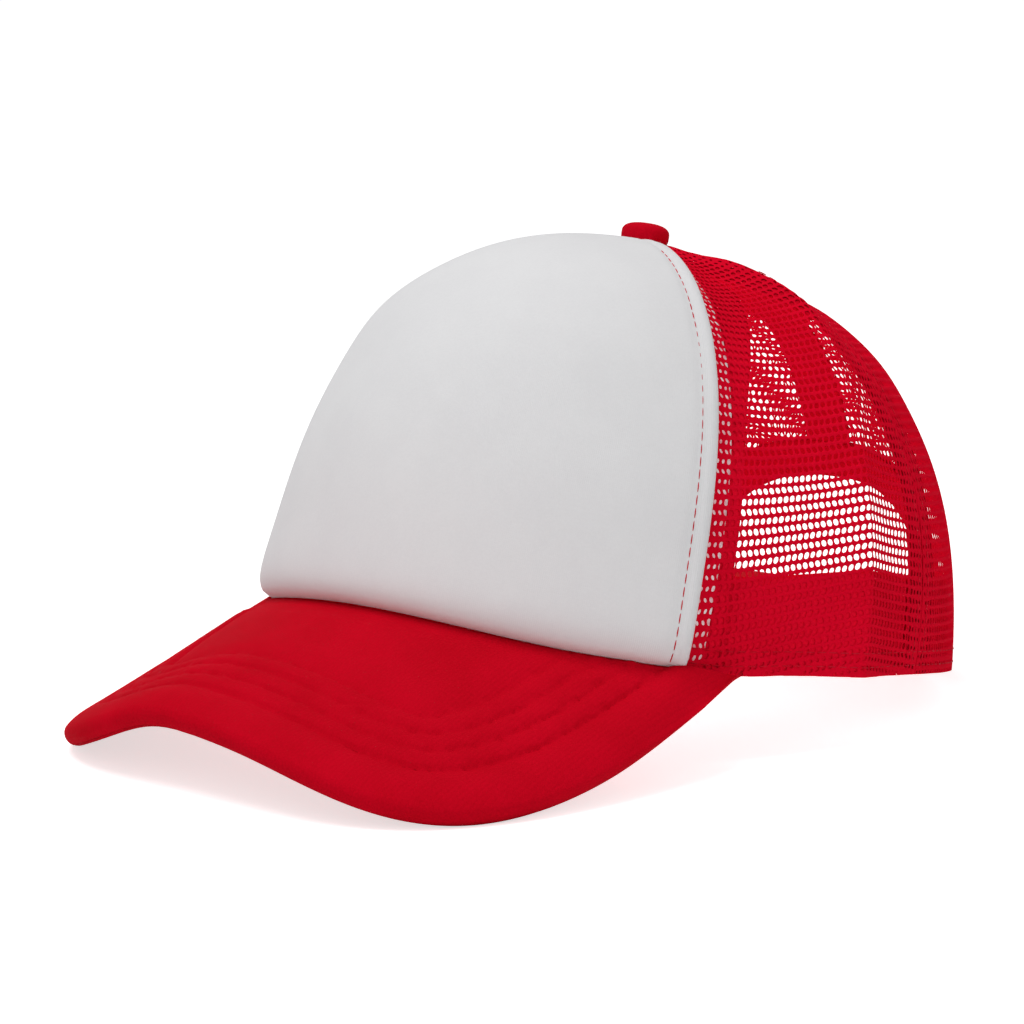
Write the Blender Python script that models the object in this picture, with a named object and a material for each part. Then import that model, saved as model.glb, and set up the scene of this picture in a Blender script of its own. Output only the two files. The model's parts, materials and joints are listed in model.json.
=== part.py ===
"""Trucker cap: foam front panel, net sides and back, stitched visor, top button and snap straps.

Lengths are in metres. The crown is laid out with its rim in the plane z = 0, its front towards -Y
and the wearer's left at +X. The finished cap then leans back until it stands on the corners of its
visor and on the rear of its rim, with the origin on the floor under the middle of its box.
"""
import math

import bmesh
import bpy
from mathutils import Matrix, Vector

# Crown, over the outside of the cloth
RIM_HALF_WIDTH = 0.0890
RIM_FRONT_REACH = 0.0995
RIM_REAR_REACH = 0.1030
CROWN_HEIGHT = 0.1082
BUTTON_FORWARD = 0.0053

# Shape of the wall at the front, side and rear: how it closes in, and how it climbs
FRONT_CLOSING = 0.74
FRONT_CLIMBING = 0.82
SIDE_CLOSING = 0.93
SIDE_CLIMBING = 0.91
REAR_CLOSING = 1.01
REAR_CLIMBING = 0.76

# Beside the centre back seam the wall stands fuller; the power sets how quickly that fades to the sides
BACK_SEAM_CLOSING = 0.70
BACK_SEAM_CLIMBING = 0.82
BACK_SEAM_FADING = 6.0

# Seams, by the turn from the front of the rim, with the bow that each has half way up
FRONT_SEAM_TURN = math.radians(55.4)
FRONT_SEAM_BOW = math.radians(2.9)
SIDE_SEAM_TURN = math.radians(103.5)
SIDE_SEAM_BOW = math.radians(4.0)

# Cloth
FOAM_THICKNESS = 0.0030
NET_THICKNESS = 0.0009
NET_DRAW_LENGTH = 0.030
PINCH_LENGTH = 0.014
TAPE_THICKNESS = 0.0006
TAPE_WIDTH = 0.016
SWEATBAND_THICKNESS = 0.0016
SWEATBAND_HEIGHT = 0.0275

# Rear opening and its folded binding
ARCH_HALF_WIDTH = 0.0450
ARCH_HEIGHT = 0.0520
BINDING_WIDTH = 0.0090
BINDING_THICKNESS = 0.0006
BINDING_END_HEIGHT = 0.0006

# Visor: a bent sheet that pitches down from the rim
VISOR_REACH = 0.0545
VISOR_WIDEST = 0.0822
VISOR_PITCH = math.radians(30.0)
VISOR_BEND_RADIUS = 0.0960
VISOR_END_TURN = math.radians(65.2)
VISOR_SQUARENESS = 3.3
VISOR_BLUNT_END = 0.965
VISOR_TOP_THICKNESS = 0.0012
VISOR_BOARD_THICKNESS = 0.0018
VISOR_UNDER_THICKNESS = 0.0009

# Snap straps
STRAP_THICKNESS = 0.0012
STRAP_WIDTH = 0.0180
STRAP_BOTTOM = 0.0030
STRAP_CORNER_RADIUS = 0.0060
STRAP_SEWN_LENGTH = 0.0100
STRAP_STEP_LENGTH = 0.0090
STRAP_HINGE_INSET = 0.0025
SNAP_PITCH = 0.0080
SNAP_SPARE_PEGS = 2
SNAP_END_MARGIN = 0.0050
PEG_RADIUS = 0.0018
PEG_NECK = 0.0006
PEG_CLEARANCE = 0.0005

# Top button
BUTTON_RADIUS = 0.0066
BUTTON_HEIGHT = 0.0050
BUTTON_CLOTH = 0.0005
BUTTON_LIP = 0.0016
POST_RADIUS = 0.0015
POST_HEAD_RADIUS = 0.0025
POST_HEAD_THICKNESS = 0.0006
WASHER_RADIUS = 0.0060
WASHER_THICKNESS = 0.0006

# Clearances
LAYER_GAP = 0.0004
SEAM_GAP = 0.0003
TOP_HOLE_CLEARANCE = 0.0007
STRAP_END_GAP = 0.0010

# Facets
CROWN_ROWS = 16
CROWN_ROW_CROWDING = 1.4
FRONT_COLUMNS = 16
SIDE_COLUMNS = 7
REAR_RIM_COLUMNS = 9
REAR_ARCH_COLUMNS = 9
TAPE_COLUMNS = 2
SWEATBAND_COLUMNS = 40
SWEATBAND_ROWS = 3
BINDING_COLUMNS = 26
BINDING_LEG_ROWS = 2
BINDING_FOLD_ROWS = 4
VISOR_COLUMNS = 20
VISOR_ROWS = 5
VISOR_EDGE_ROWS = 3
STRAP_COLUMNS = 22
STRAP_ROWS = 2
ROUND_SIDES = 16
SNAP_SIDES = 10
DOME_STEPS = 4

# Small steps for slopes and arcs, and other working values
SLOPE_STEP = 1.0e-4
ARC_STEPS = 720
MERGE_DISTANCE = 1.0e-6
SHARP_ANGLE = math.radians(35.0)

RED = (0.52, 0.004, 0.016)
DEEP_RED = (0.40, 0.003, 0.012)
WHITE = (0.74, 0.74, 0.75)
BOARD_GREY = (0.55, 0.53, 0.50)
METAL = (0.62, 0.62, 0.63)


def ease(share):
    """Smooth step from 0 to 1."""
    share = min(max(share, 0.0), 1.0)
    return share * share * (3.0 - 2.0 * share)


def mix(low, high, share):
    return low + (high - low) * share


# Shape of the crown

def rim_reach(turn):
    return RIM_FRONT_REACH if math.cos(turn) > 0.0 else RIM_REAR_REACH


def rim_plan(turn):
    return Vector((RIM_HALF_WIDTH * math.sin(turn), -rim_reach(turn) * math.cos(turn), 0.0))


def rim_stride(turn):
    """Length along the rim for each radian of turn."""
    return math.hypot(RIM_HALF_WIDTH * math.cos(turn), rim_reach(turn) * math.sin(turn))


def wall_shape(turn):
    """Closing and climbing exponents of the wall at this turn."""
    front = max(math.cos(turn), 0.0) ** 2
    rear = max(-math.cos(turn), 0.0) ** 2
    side = 1.0 - front - rear
    closing = FRONT_CLOSING * front + SIDE_CLOSING * side + REAR_CLOSING * rear
    climbing = FRONT_CLIMBING * front + SIDE_CLIMBING * side + REAR_CLIMBING * rear
    back = max(-math.cos(turn), 0.0) ** BACK_SEAM_FADING
    closing += (BACK_SEAM_CLOSING - REAR_CLOSING) * back
    climbing += (BACK_SEAM_CLIMBING - REAR_CLIMBING) * back
    return closing, climbing


def stride(turn, climb):
    """Length round the crown for each radian of turn, at this climb."""
    return rim_stride(turn) * math.cos(climb) ** wall_shape(turn)[0]


def climb_at_height(turn, height):
    return math.asin((height / CROWN_HEIGHT) ** (1.0 / wall_shape(turn)[1]))


def climb_at_radius(turn, radius):
    return math.acos((radius / rim_stride(turn)) ** (1.0 / wall_shape(turn)[0]))


def visor_height(x, y):
    """Height of the visor's upper surface, which meets the rim plane at the visor's two ends."""
    end = rim_plan(VISOR_END_TURN)
    return math.tan(VISOR_PITCH) * (y - end.y) - (x * x - end.x * end.x) / (2.0 * VISOR_BEND_RADIUS)


def rim_height(turn):
    """The rim follows the visor at the front and is flat elsewhere."""
    if abs(turn) >= VISOR_END_TURN:
        return 0.0
    rim = rim_plan(turn)
    return visor_height(rim.x, rim.y)


def crown_surface(turn, climb):
    closing, climbing = wall_shape(turn)
    size = math.cos(climb) ** closing
    rim = rim_plan(turn)
    height = CROWN_HEIGHT * math.sin(climb) ** climbing
    height += rim_height(turn) * (1.0 - math.sin(climb)) ** 2
    return Vector((rim.x * size, rim.y * size - BUTTON_FORWARD * (1.0 - size), height))


def crown_normal(turn, climb):
    across = crown_surface(turn + SLOPE_STEP, climb) - crown_surface(turn - SLOPE_STEP, climb)
    up = crown_surface(turn, climb + SLOPE_STEP) - crown_surface(turn, max(climb - SLOPE_STEP, 0.0))
    return across.cross(up).normalized()


def crown_point(turn, climb, lift):
    return crown_surface(turn, climb) + crown_normal(turn, climb) * lift


def front_seam(climb):
    return FRONT_SEAM_TURN + FRONT_SEAM_BOW * math.sin(2.0 * climb)


def side_seam(climb):
    return SIDE_SEAM_TURN + SIDE_SEAM_BOW * math.sin(2.0 * climb)


def rear_seam(climb):
    return math.pi


def foam_depth(turn, climb):
    """Thickness of the foam panel, pinched down to the net's thickness over the button's washer."""
    share = ease((stride(turn, climb) - WASHER_RADIUS) / PINCH_LENGTH)
    return mix(NET_THICKNESS, FOAM_THICKNESS, share)


def net_lift(turn, climb):
    """The net is drawn in beside the foam, so that their inner faces meet flush at the seam."""
    distance = (abs(turn) - front_seam(climb)) * stride(turn, climb)
    drawn = foam_depth(turn, climb) - NET_THICKNESS
    return -drawn * (1.0 - ease(distance / NET_DRAW_LENGTH))


def wall_depth(turn, climb):
    """Depth of the panels' inner face below the crown's outer surface."""
    if abs(turn) < front_seam(climb):
        return foam_depth(turn, climb)
    return NET_THICKNESS - net_lift(turn, climb)


TOP_HOLE_RADIUS = POST_RADIUS + TOP_HOLE_CLEARANCE


def climb_row(turn, low, up):
    """Climb of a row of facets between the low edge and the hole under the button, closer at the top."""
    top = climb_at_radius(turn, TOP_HOLE_RADIUS)
    return mix(low, top, 1.0 - (1.0 - up) ** CROWN_ROW_CROWDING)


# Places along the rear of the rim, by their arc from the centre back

def rear_arc_table():
    arcs = [0.0]
    step = 0.5 * math.pi / ARC_STEPS
    for index in range(ARC_STEPS):
        arcs.append(arcs[-1] + rim_stride(math.pi - (index + 0.5) * step) * step)
    return arcs, step


REAR_ARCS, REAR_ARC_STEP = rear_arc_table()


def turn_at_arc(arc):
    """Turn at this arc from the centre back, positive towards the wearer's left."""
    index = 0
    while REAR_ARCS[index + 1] < abs(arc):
        index += 1
    share = (abs(arc) - REAR_ARCS[index]) / (REAR_ARCS[index + 1] - REAR_ARCS[index])
    back = (index + share) * REAR_ARC_STEP
    return math.pi - math.copysign(back, arc)


def rear_point(arc, height, lift):
    turn = turn_at_arc(arc)
    return crown_point(turn, climb_at_height(turn, height), lift)


# The fold of the binding turns round the net's edge, half way through the net
FOLD_RADIUS = 0.5 * NET_THICKNESS + LAYER_GAP + 0.5 * BINDING_THICKNESS
NET_EDGE_INSET = FOLD_RADIUS + 0.5 * BINDING_THICKNESS
NET_ARCH_HALF_WIDTH = ARCH_HALF_WIDTH + NET_EDGE_INSET
NET_ARCH_HEIGHT = ARCH_HEIGHT + NET_EDGE_INSET


def arch_half_width(height):
    """Half width of the clear rear opening at this height."""
    return ARCH_HALF_WIDTH * math.sqrt(1.0 - (height / ARCH_HEIGHT) ** 2)


# Mesh tools

def face_out(mesh):
    """Turn every face of a closed body outwards."""
    bmesh.ops.recalc_face_normals(mesh, faces=mesh.faces[:])
    if mesh.calc_volume(signed=True) < 0.0:
        bmesh.ops.reverse_faces(mesh, faces=mesh.faces[:])


def finish(name, mesh, material, parent, location=(0.0, 0.0, 0.0)):
    """Turn a bmesh into a named object with its own material."""
    face_out(mesh)
    data = bpy.data.meshes.new(name)
    mesh.to_mesh(data)
    mesh.free()
    data.materials.append(material)
    data.shade_smooth()
    data.set_sharp_from_angle(angle=SHARP_ANGLE)
    piece = bpy.data.objects.new(name, data)
    piece.location = location
    piece.parent = parent
    bpy.context.collection.objects.link(piece)
    return piece


def bent_sheet(columns, rows, place):
    """Bend a flat blank: place takes the shares across, up and through it (0 inside, 1 outside)."""
    mesh = bmesh.new()
    bmesh.ops.create_grid(mesh, x_segments=columns, y_segments=rows, size=0.5)
    bmesh.ops.solidify(mesh, geom=mesh.faces[:], thickness=1.0)
    low = min(vert.co.z for vert in mesh.verts)
    for vert in mesh.verts:
        across, up, through = vert.co.x + 0.5, vert.co.y + 0.5, vert.co.z - low
        vert.co = place(across, up, round(through))
    bmesh.ops.triangulate(mesh, faces=mesh.faces[:], quad_method="SHORT_EDGE")
    return mesh


def turned(profile, sides):
    """Spin a closed profile of (radius, height) points round the Z axis."""
    mesh = bmesh.new()
    verts = [mesh.verts.new((radius, 0.0, height)) for radius, height in profile]
    edges = []
    for start, end in zip(verts, verts[1:] + verts[:1]):
        if start.co.x > 0.0 or end.co.x > 0.0:
            edges.append(mesh.edges.new((start, end)))
    bmesh.ops.spin(mesh, geom=verts + edges, axis=(0.0, 0.0, 1.0), cent=(0.0, 0.0, 0.0),
                   steps=sides, angle=2.0 * math.pi, use_merge=True)
    bmesh.ops.remove_doubles(mesh, verts=mesh.verts[:], dist=MERGE_DISTANCE)
    return mesh


def material(name, colour, roughness, metallic=0.0):
    made = bpy.data.materials.new(name)
    made.use_nodes = True
    shader = made.node_tree.nodes["Principled BSDF"]
    shader.inputs["Base Color"].default_value = (*colour, 1.0)
    shader.inputs["Roughness"].default_value = roughness
    shader.inputs["Metallic"].default_value = metallic
    return made


# Crown panels

def panel(columns, first_edge, last_edge, first_gap, last_gap, outer_lift, thickness, low_climb=None):
    """Wall panel between two seams, each edge held back by its share of the seam's gap."""
    def place(across, up, through):
        turn = mix(first_edge(0.0), last_edge(0.0), across)
        low = low_climb(turn) if low_climb else 0.0
        climb = climb_row(turn, low, up)
        first = first_edge(climb) + first_gap / stride(first_edge(climb), climb)
        last = last_edge(climb) - last_gap / stride(last_edge(climb), climb)
        turn = mix(first, last, across)
        depth = thickness(turn, climb) * (1 - through)
        return crown_point(turn, climb, outer_lift(turn, climb) - depth)
    return bent_sheet(columns, CROWN_ROWS, place)


def net_thickness(turn, climb):
    return NET_THICKNESS


def no_lift(turn, climb):
    return 0.0


def front_panel(root):
    half_gap = 0.5 * SEAM_GAP
    mesh = panel(FRONT_COLUMNS, lambda climb: -front_seam(climb), front_seam, half_gap, half_gap,
                 no_lift, foam_depth)
    return finish("front_panel", mesh, material("foam_cloth", WHITE, 0.75), root)


def side_mesh(name, side, root):
    half_gap = 0.5 * SEAM_GAP
    mesh = panel(SIDE_COLUMNS, front_seam, side_seam, half_gap, half_gap, net_lift, net_thickness)
    return finish(name, mirrored(mesh, side), material(name + "_net", RED, 0.7), root)


def mirrored(mesh, side):
    """Move a piece made on the wearer's left to the other side where side is -1."""
    for vert in mesh.verts:
        vert.co.x *= side
    return mesh


def rear_mesh(name, side, root):
    """Rear net panel: its lower edge runs along the rim, then up round the arch."""
    columns = REAR_RIM_COLUMNS + REAR_ARCH_COLUMNS
    corner = turn_at_arc(NET_ARCH_HALF_WIDTH)
    half_gap = 0.5 * SEAM_GAP

    def place(across, up, through):
        column = across * columns
        if column <= REAR_RIM_COLUMNS:
            share = column / REAR_RIM_COLUMNS
            low = 0.0
        else:
            share = 1.0
            quarter = 0.5 * math.pi * (column - REAR_RIM_COLUMNS) / REAR_ARCH_COLUMNS
            arc = NET_ARCH_HALF_WIDTH * math.cos(quarter)
            low = NET_ARCH_HEIGHT * math.sin(quarter)
        if share < 1.0 or low == 0.0:
            climb = climb_row(corner, 0.0, up)
            first = side_seam(climb) + half_gap / stride(side_seam(climb), climb)
            turn = mix(first, corner, share)
        else:
            turn = turn_at_arc(arc)
            climb = climb_row(turn, climb_at_height(turn, low), up)
            turn = min(turn, math.pi - half_gap / stride(math.pi, climb))
        depth = NET_THICKNESS * (1 - through)
        return crown_point(turn, climb, net_lift(turn, climb) - depth)
    mesh = bent_sheet(columns, CROWN_ROWS, place)
    return finish(name, mirrored(mesh, side), material(name + "_net", RED, 0.7), root)


def seam_tape(name, seam, side, low_height, root):
    """Tape inside a seam. Near the button it narrows to its own share of the turn."""
    turns = (-FRONT_SEAM_TURN, FRONT_SEAM_TURN, SIDE_SEAM_TURN, math.pi)
    sector = 0.5 * min(after - before for before, after in zip(turns, turns[1:]))

    def place(across, up, through):
        low = climb_at_height(seam(0.0), low_height)
        climb = climb_row(seam(0.0), low, up)
        length = stride(seam(climb), climb)
        half = min(0.5 * TAPE_WIDTH / length, sector - 0.5 * SEAM_GAP / length)
        turn = seam(climb) + half * (2.0 * across - 1.0)
        depth = wall_depth(turn, climb) + LAYER_GAP + TAPE_THICKNESS * (1 - through)
        return crown_point(turn, climb, -depth)
    mesh = bent_sheet(TAPE_COLUMNS, CROWN_ROWS, place)
    return finish(name, mirrored(mesh, side), material(name + "_cloth", DEEP_RED, 0.8), root)


def sweatband(root):
    end = turn_at_arc(NET_ARCH_HALF_WIDTH + STRAP_SEWN_LENGTH + STRAP_END_GAP)

    def place(across, up, through):
        turn = mix(-end, end, across)
        climb = climb_at_height(turn, SWEATBAND_HEIGHT * up)
        depth = wall_depth(turn, climb) + TAPE_THICKNESS + 2.0 * LAYER_GAP
        return crown_point(turn, climb, -depth - SWEATBAND_THICKNESS * (1 - through))
    mesh = bent_sheet(SWEATBAND_COLUMNS, SWEATBAND_ROWS, place)
    return finish("sweatband", mesh, material("sweatband_cloth", DEEP_RED, 0.85), root)


def rear_arch_binding(root):
    """Tape folded over the arched edge of the rear net."""
    rows = 2 * BINDING_LEG_ROWS + BINDING_FOLD_ROWS
    reach = math.acos(BINDING_END_HEIGHT / NET_ARCH_HEIGHT)

    def place(across, up, through):
        row = up * rows
        radius = FOLD_RADIUS + BINDING_THICKNESS * (through - 0.5)
        fold = math.pi * min(max((row - BINDING_LEG_ROWS) / BINDING_FOLD_ROWS, 0.0), 1.0)
        past = max(BINDING_LEG_ROWS - row, row - rows + BINDING_LEG_ROWS, 0.0)
        inset = BINDING_WIDTH * past / BINDING_LEG_ROWS - radius * math.sin(fold)
        lift = radius * math.cos(fold) - 0.5 * NET_THICKNESS
        swing = mix(-reach, reach, across)
        arc = (NET_ARCH_HALF_WIDTH + inset) * math.sin(swing)
        return rear_point(arc, (NET_ARCH_HEIGHT + inset) * math.cos(swing), lift)
    mesh = bent_sheet(BINDING_COLUMNS, rows, place)
    return finish("rear_arch_binding", mesh, material("binding_cloth", RED, 0.8), root)


# Visor

VISOR_THICKNESS = (VISOR_TOP_THICKNESS + VISOR_BOARD_THICKNESS + VISOR_UNDER_THICKNESS
                   + 2.0 * LAYER_GAP)
VISOR_EDGE_RADIUS = 0.5 * VISOR_THICKNESS


def visor_outline(share):
    """Plan of the visor's free edge; share runs from -1 at one end to 1 at the other."""
    end = rim_plan(VISOR_END_TURN)
    angle = 0.5 * math.pi * share
    sideways = abs(math.sin(angle)) ** (2.0 / VISOR_SQUARENESS)
    forward = abs(math.cos(angle)) ** (2.0 / VISOR_SQUARENESS)
    flare = 2.0 * (VISOR_WIDEST - end.x) * math.sqrt(forward * (1.0 - forward * forward))
    x = math.copysign(sideways * (end.x + flare), share)
    return Vector((x, mix(end.y, -RIM_FRONT_REACH - VISOR_REACH, forward), 0.0))


def visor_root(share):
    return rim_plan(share * VISOR_END_TURN)


def visor_point(plan, depth):
    """Point at this depth under the visor's upper surface, which seats just below the rim."""
    slope = Vector((plan.x / VISOR_BEND_RADIUS, -math.tan(VISOR_PITCH), 1.0)).normalized()
    top = Vector((plan.x, plan.y, visor_height(plan.x, plan.y) - LAYER_GAP))
    return top - slope * depth


def visor_spread(share, reach):
    """Plan point on the line from root to free edge, and the line's direction and length."""
    root = visor_root(share)
    free = visor_outline(share)
    line = free - root
    drop = visor_height(root.x, root.y) - visor_height(free.x, free.y)
    length = math.hypot(line.length, drop)
    return root + line * (1.0 - VISOR_EDGE_RADIUS / length) * reach, line / length


def visor_cover(name, above, thickness, colour, root):
    """Cover sheet whose free edge turns round the board's edge to meet the other cover."""
    rows = VISOR_ROWS + VISOR_EDGE_ROWS
    sign = 1.0 if above else -1.0

    def place(across, up, through):
        share = VISOR_BLUNT_END * (2.0 * across - 1.0)
        row = up * rows
        plan, line = visor_spread(share, min(row / VISOR_ROWS, 1.0))
        radius = VISOR_EDGE_RADIUS - thickness * (1 - through)
        last = math.asin(0.5 * LAYER_GAP / VISOR_EDGE_RADIUS)
        past = max(row - VISOR_ROWS, 0.0) / VISOR_EDGE_ROWS
        angle = mix(0.5 * math.pi, last, past)
        return visor_point(plan + line * radius * math.cos(angle),
                           VISOR_EDGE_RADIUS - sign * radius * math.sin(angle))
    mesh = bent_sheet(VISOR_COLUMNS, rows, place)
    return finish(name, mesh, material(name + "_cloth", colour, 0.75), root)


def visor_board(root):
    def place(across, up, through):
        plan, _ = visor_spread(VISOR_BLUNT_END * (2.0 * across - 1.0), up)
        depth = VISOR_TOP_THICKNESS + LAYER_GAP + VISOR_BOARD_THICKNESS * (1 - through)
        return visor_point(plan, depth)
    mesh = bent_sheet(VISOR_COLUMNS, VISOR_ROWS, place)
    return finish("visor_board", mesh, material("board_plastic", BOARD_GREY, 0.6), root)


# Top button

def dome(radius, base, height):
    """Profile of a low dome, from its rim up to the axis."""
    points = []
    for step in range(DOME_STEPS + 1):
        angle = 0.5 * math.pi * step / DOME_STEPS
        points.append((radius * math.cos(angle), base + height * math.sin(angle)))
    points[-1] = (0.0, base + height)
    return points


def button(root):
    """Cloth cover with its edge turned under, the domed shell with its post, and the washer."""
    place = (0.0, -BUTTON_FORWARD, CROWN_HEIGHT)
    lip_top = LAYER_GAP + BUTTON_CLOTH
    inner = BUTTON_RADIUS - BUTTON_CLOTH
    cover = [(inner - BUTTON_LIP, LAYER_GAP), (inner, LAYER_GAP)]
    cover += dome(BUTTON_RADIUS, lip_top, BUTTON_HEIGHT - lip_top)
    cover += reversed(dome(inner, lip_top, BUTTON_HEIGHT - lip_top - BUTTON_CLOTH))
    cover.append((inner - BUTTON_LIP, lip_top))

    shell_base = lip_top + LAYER_GAP
    stack = NET_THICKNESS + TAPE_THICKNESS + 3.0 * LAYER_GAP
    foot = -stack - WASHER_THICKNESS - LAYER_GAP
    shell = [(0.0, foot - POST_HEAD_THICKNESS), (POST_HEAD_RADIUS, foot - POST_HEAD_THICKNESS)]
    shell += [(POST_HEAD_RADIUS, foot), (POST_RADIUS, foot), (POST_RADIUS, shell_base)]
    shell += dome(inner - LAYER_GAP, shell_base, BUTTON_HEIGHT - BUTTON_CLOTH - LAYER_GAP - shell_base)

    hole = POST_RADIUS + LAYER_GAP
    washer = [(hole, -stack), (hole, -stack - WASHER_THICKNESS)]
    washer += [(WASHER_RADIUS, -stack - WASHER_THICKNESS), (WASHER_RADIUS, -stack)]

    finish("button_cover", turned(cover, ROUND_SIDES), material("button_cloth", RED, 0.75),
           root, place)
    finish("button_shell", turned(shell, ROUND_SIDES), material("button_metal", METAL, 0.35, 1.0),
           root, place)
    finish("button_washer", turned(washer, ROUND_SIDES), material("washer_metal", METAL, 0.4, 1.0),
           root, place)


# Snap straps

# Depth of the outer face of a strap where it is sewn behind the binding, and one strap further in
SEWN_DEPTH = NET_THICKNESS + 2.0 * LAYER_GAP + BINDING_THICKNESS
INNER_DEPTH = SEWN_DEPTH + STRAP_THICKNESS + LAYER_GAP
STRAP_TOP = STRAP_BOTTOM + STRAP_WIDTH
STRAP_MIDDLE = STRAP_BOTTOM + 0.5 * STRAP_WIDTH
SEWN_END = NET_ARCH_HALF_WIDTH + STRAP_SEWN_LENGTH
STEP_END = arch_half_width(STRAP_TOP) - STRAP_STEP_LENGTH
HOLE_RADIUS = PEG_RADIUS + PEG_CLEARANCE
OUTER_SNAPS = int((STEP_END - HOLE_RADIUS) / SNAP_PITCH)
INNER_SNAPS = OUTER_SNAPS - SNAP_SPARE_PEGS
FREE_END = INNER_SNAPS * SNAP_PITCH + SNAP_END_MARGIN


def peg_strap_depth(arc):
    """The strap with pegs steps inwards between its sewn end and the first peg."""
    return mix(INNER_DEPTH, SEWN_DEPTH, ease((-arc - STEP_END) / STRAP_STEP_LENGTH))


def hole_strap_depth(arc):
    return SEWN_DEPTH


def strap_blank(side, depth):
    """Strap bent along the rear rim, from its sewn end on one side to its rounded free end."""
    def place(across, up, through):
        along = math.sin(0.5 * math.pi * across)
        arc = side * mix(SEWN_END, -FREE_END, along)
        to_end = max(STRAP_CORNER_RADIUS - (1.0 - along) * (SEWN_END + FREE_END), 0.0)
        cut = STRAP_CORNER_RADIUS - math.sqrt(STRAP_CORNER_RADIUS ** 2 - to_end ** 2)
        height = STRAP_MIDDLE + (0.5 * STRAP_WIDTH - cut) * (2.0 * up - 1.0)
        return rear_point(arc, height, -depth(arc) - STRAP_THICKNESS * (1 - through))
    return bent_sheet(STRAP_COLUMNS, STRAP_ROWS, place)


def snap_places(side, depth):
    """Places of the snaps along one strap: on its outer face, turned with Z pointing outwards."""
    places = []
    for index in range(-INNER_SNAPS, OUTER_SNAPS + 1):
        arc = side * index * SNAP_PITCH
        turn = turn_at_arc(arc)
        out = crown_normal(turn, climb_at_height(turn, STRAP_MIDDLE))
        turned_out = out.to_track_quat("Z", "Y").to_matrix().to_4x4()
        places.append(Matrix.Translation(rear_point(arc, STRAP_MIDDLE, -depth(arc))) @ turned_out)
    return places


def hinge(name, position, root):
    empty = bpy.data.objects.new(name, None)
    empty.location = position
    empty.empty_display_size = STRAP_WIDTH
    empty.parent = root
    bpy.context.collection.objects.link(empty)
    return empty


def joined_tool(name, places, make, parent, offset):
    """One hidden object that holds a copy of a turned shape at each place."""
    joined = bmesh.new()
    for place in places:
        single = make()
        single.transform(place)
        data = bpy.data.meshes.new(name)
        single.to_mesh(data)
        single.free()
        joined.from_mesh(data)
        bpy.data.meshes.remove(data)
    tool = finish(name, joined, material(name, METAL, 0.5), parent, offset)
    tool.hide_render = True
    tool.display_type = "WIRE"
    return tool


def combine(piece, tool, operation):
    cut = piece.modifiers.new(operation.lower(), "BOOLEAN")
    cut.operation = operation
    cut.object = tool


def hole_cutter():
    depth = STRAP_THICKNESS + LAYER_GAP
    profile = [(0.0, LAYER_GAP), (HOLE_RADIUS, LAYER_GAP), (HOLE_RADIUS, -depth), (0.0, -depth)]
    return turned(profile, SNAP_SIDES)


def peg():
    root = -0.5 * STRAP_THICKNESS
    return turned([(0.0, root), (PEG_RADIUS, root)] + dome(PEG_RADIUS, PEG_NECK, PEG_RADIUS), SNAP_SIDES)


def straps(root):
    """Straps hinge near their sewn ends: the outer one swings out, the inner one swings in."""
    colour = material("strap_plastic", RED, 0.45)
    half = 0.5 * STRAP_THICKNESS
    outer_arc = arch_half_width(STRAP_TOP) - STRAP_HINGE_INSET
    outer_hinge = rear_point(outer_arc, STRAP_MIDDLE, -SEWN_DEPTH - half)
    inner_hinge = rear_point(-SEWN_END + half, STRAP_MIDDLE, -SEWN_DEPTH - half)

    empty = hinge("strap_with_holes_hinge", outer_hinge, root)
    holed = finish("strap_with_holes", strap_blank(1.0, hole_strap_depth), colour, empty, -outer_hinge)
    places = snap_places(1.0, hole_strap_depth)
    tool = joined_tool("strap_hole_cutter", places, hole_cutter, empty, -outer_hinge)
    combine(holed, tool, "DIFFERENCE")

    empty = hinge("strap_with_pegs_hinge", inner_hinge, root)
    pegged = finish("strap_with_pegs", strap_blank(-1.0, peg_strap_depth), colour.copy(), empty,
                    -inner_hinge)
    places = snap_places(-1.0, peg_strap_depth)
    tool = joined_tool("strap_peg_set", places, peg, empty, -inner_hinge)
    combine(pegged, tool, "UNION")


def stand(root):
    """Lean the cap back on its visor's corners and rear rim, with the origin under its middle."""
    bpy.context.view_layer.update()
    graph = bpy.context.evaluated_depsgraph_get()
    points = []
    for piece in bpy.context.collection.objects:
        if piece.type == "MESH" and not piece.hide_render:
            seen = piece.evaluated_get(graph)
            points += [seen.matrix_world @ vert.co for vert in seen.data.vertices]
    heel = crown_point(turn_at_arc(NET_ARCH_HALF_WIDTH), 0.0, 0.0)
    front = [point for point in points if point.y < 0.0]
    lean = max(math.atan2(-point.z, heel.y - point.y) for point in front)
    turn = Matrix.Rotation(-lean, 3, "X")
    points = [turn @ point for point in points]
    low = [min(point[axis] for point in points) for axis in range(3)]
    high = [max(point[axis] for point in points) for axis in range(3)]
    root.rotation_euler = (-lean, 0.0, 0.0)
    root.location = (-0.5 * (low[0] + high[0]), -0.5 * (low[1] + high[1]), -low[2])
    bpy.context.view_layer.update()


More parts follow.
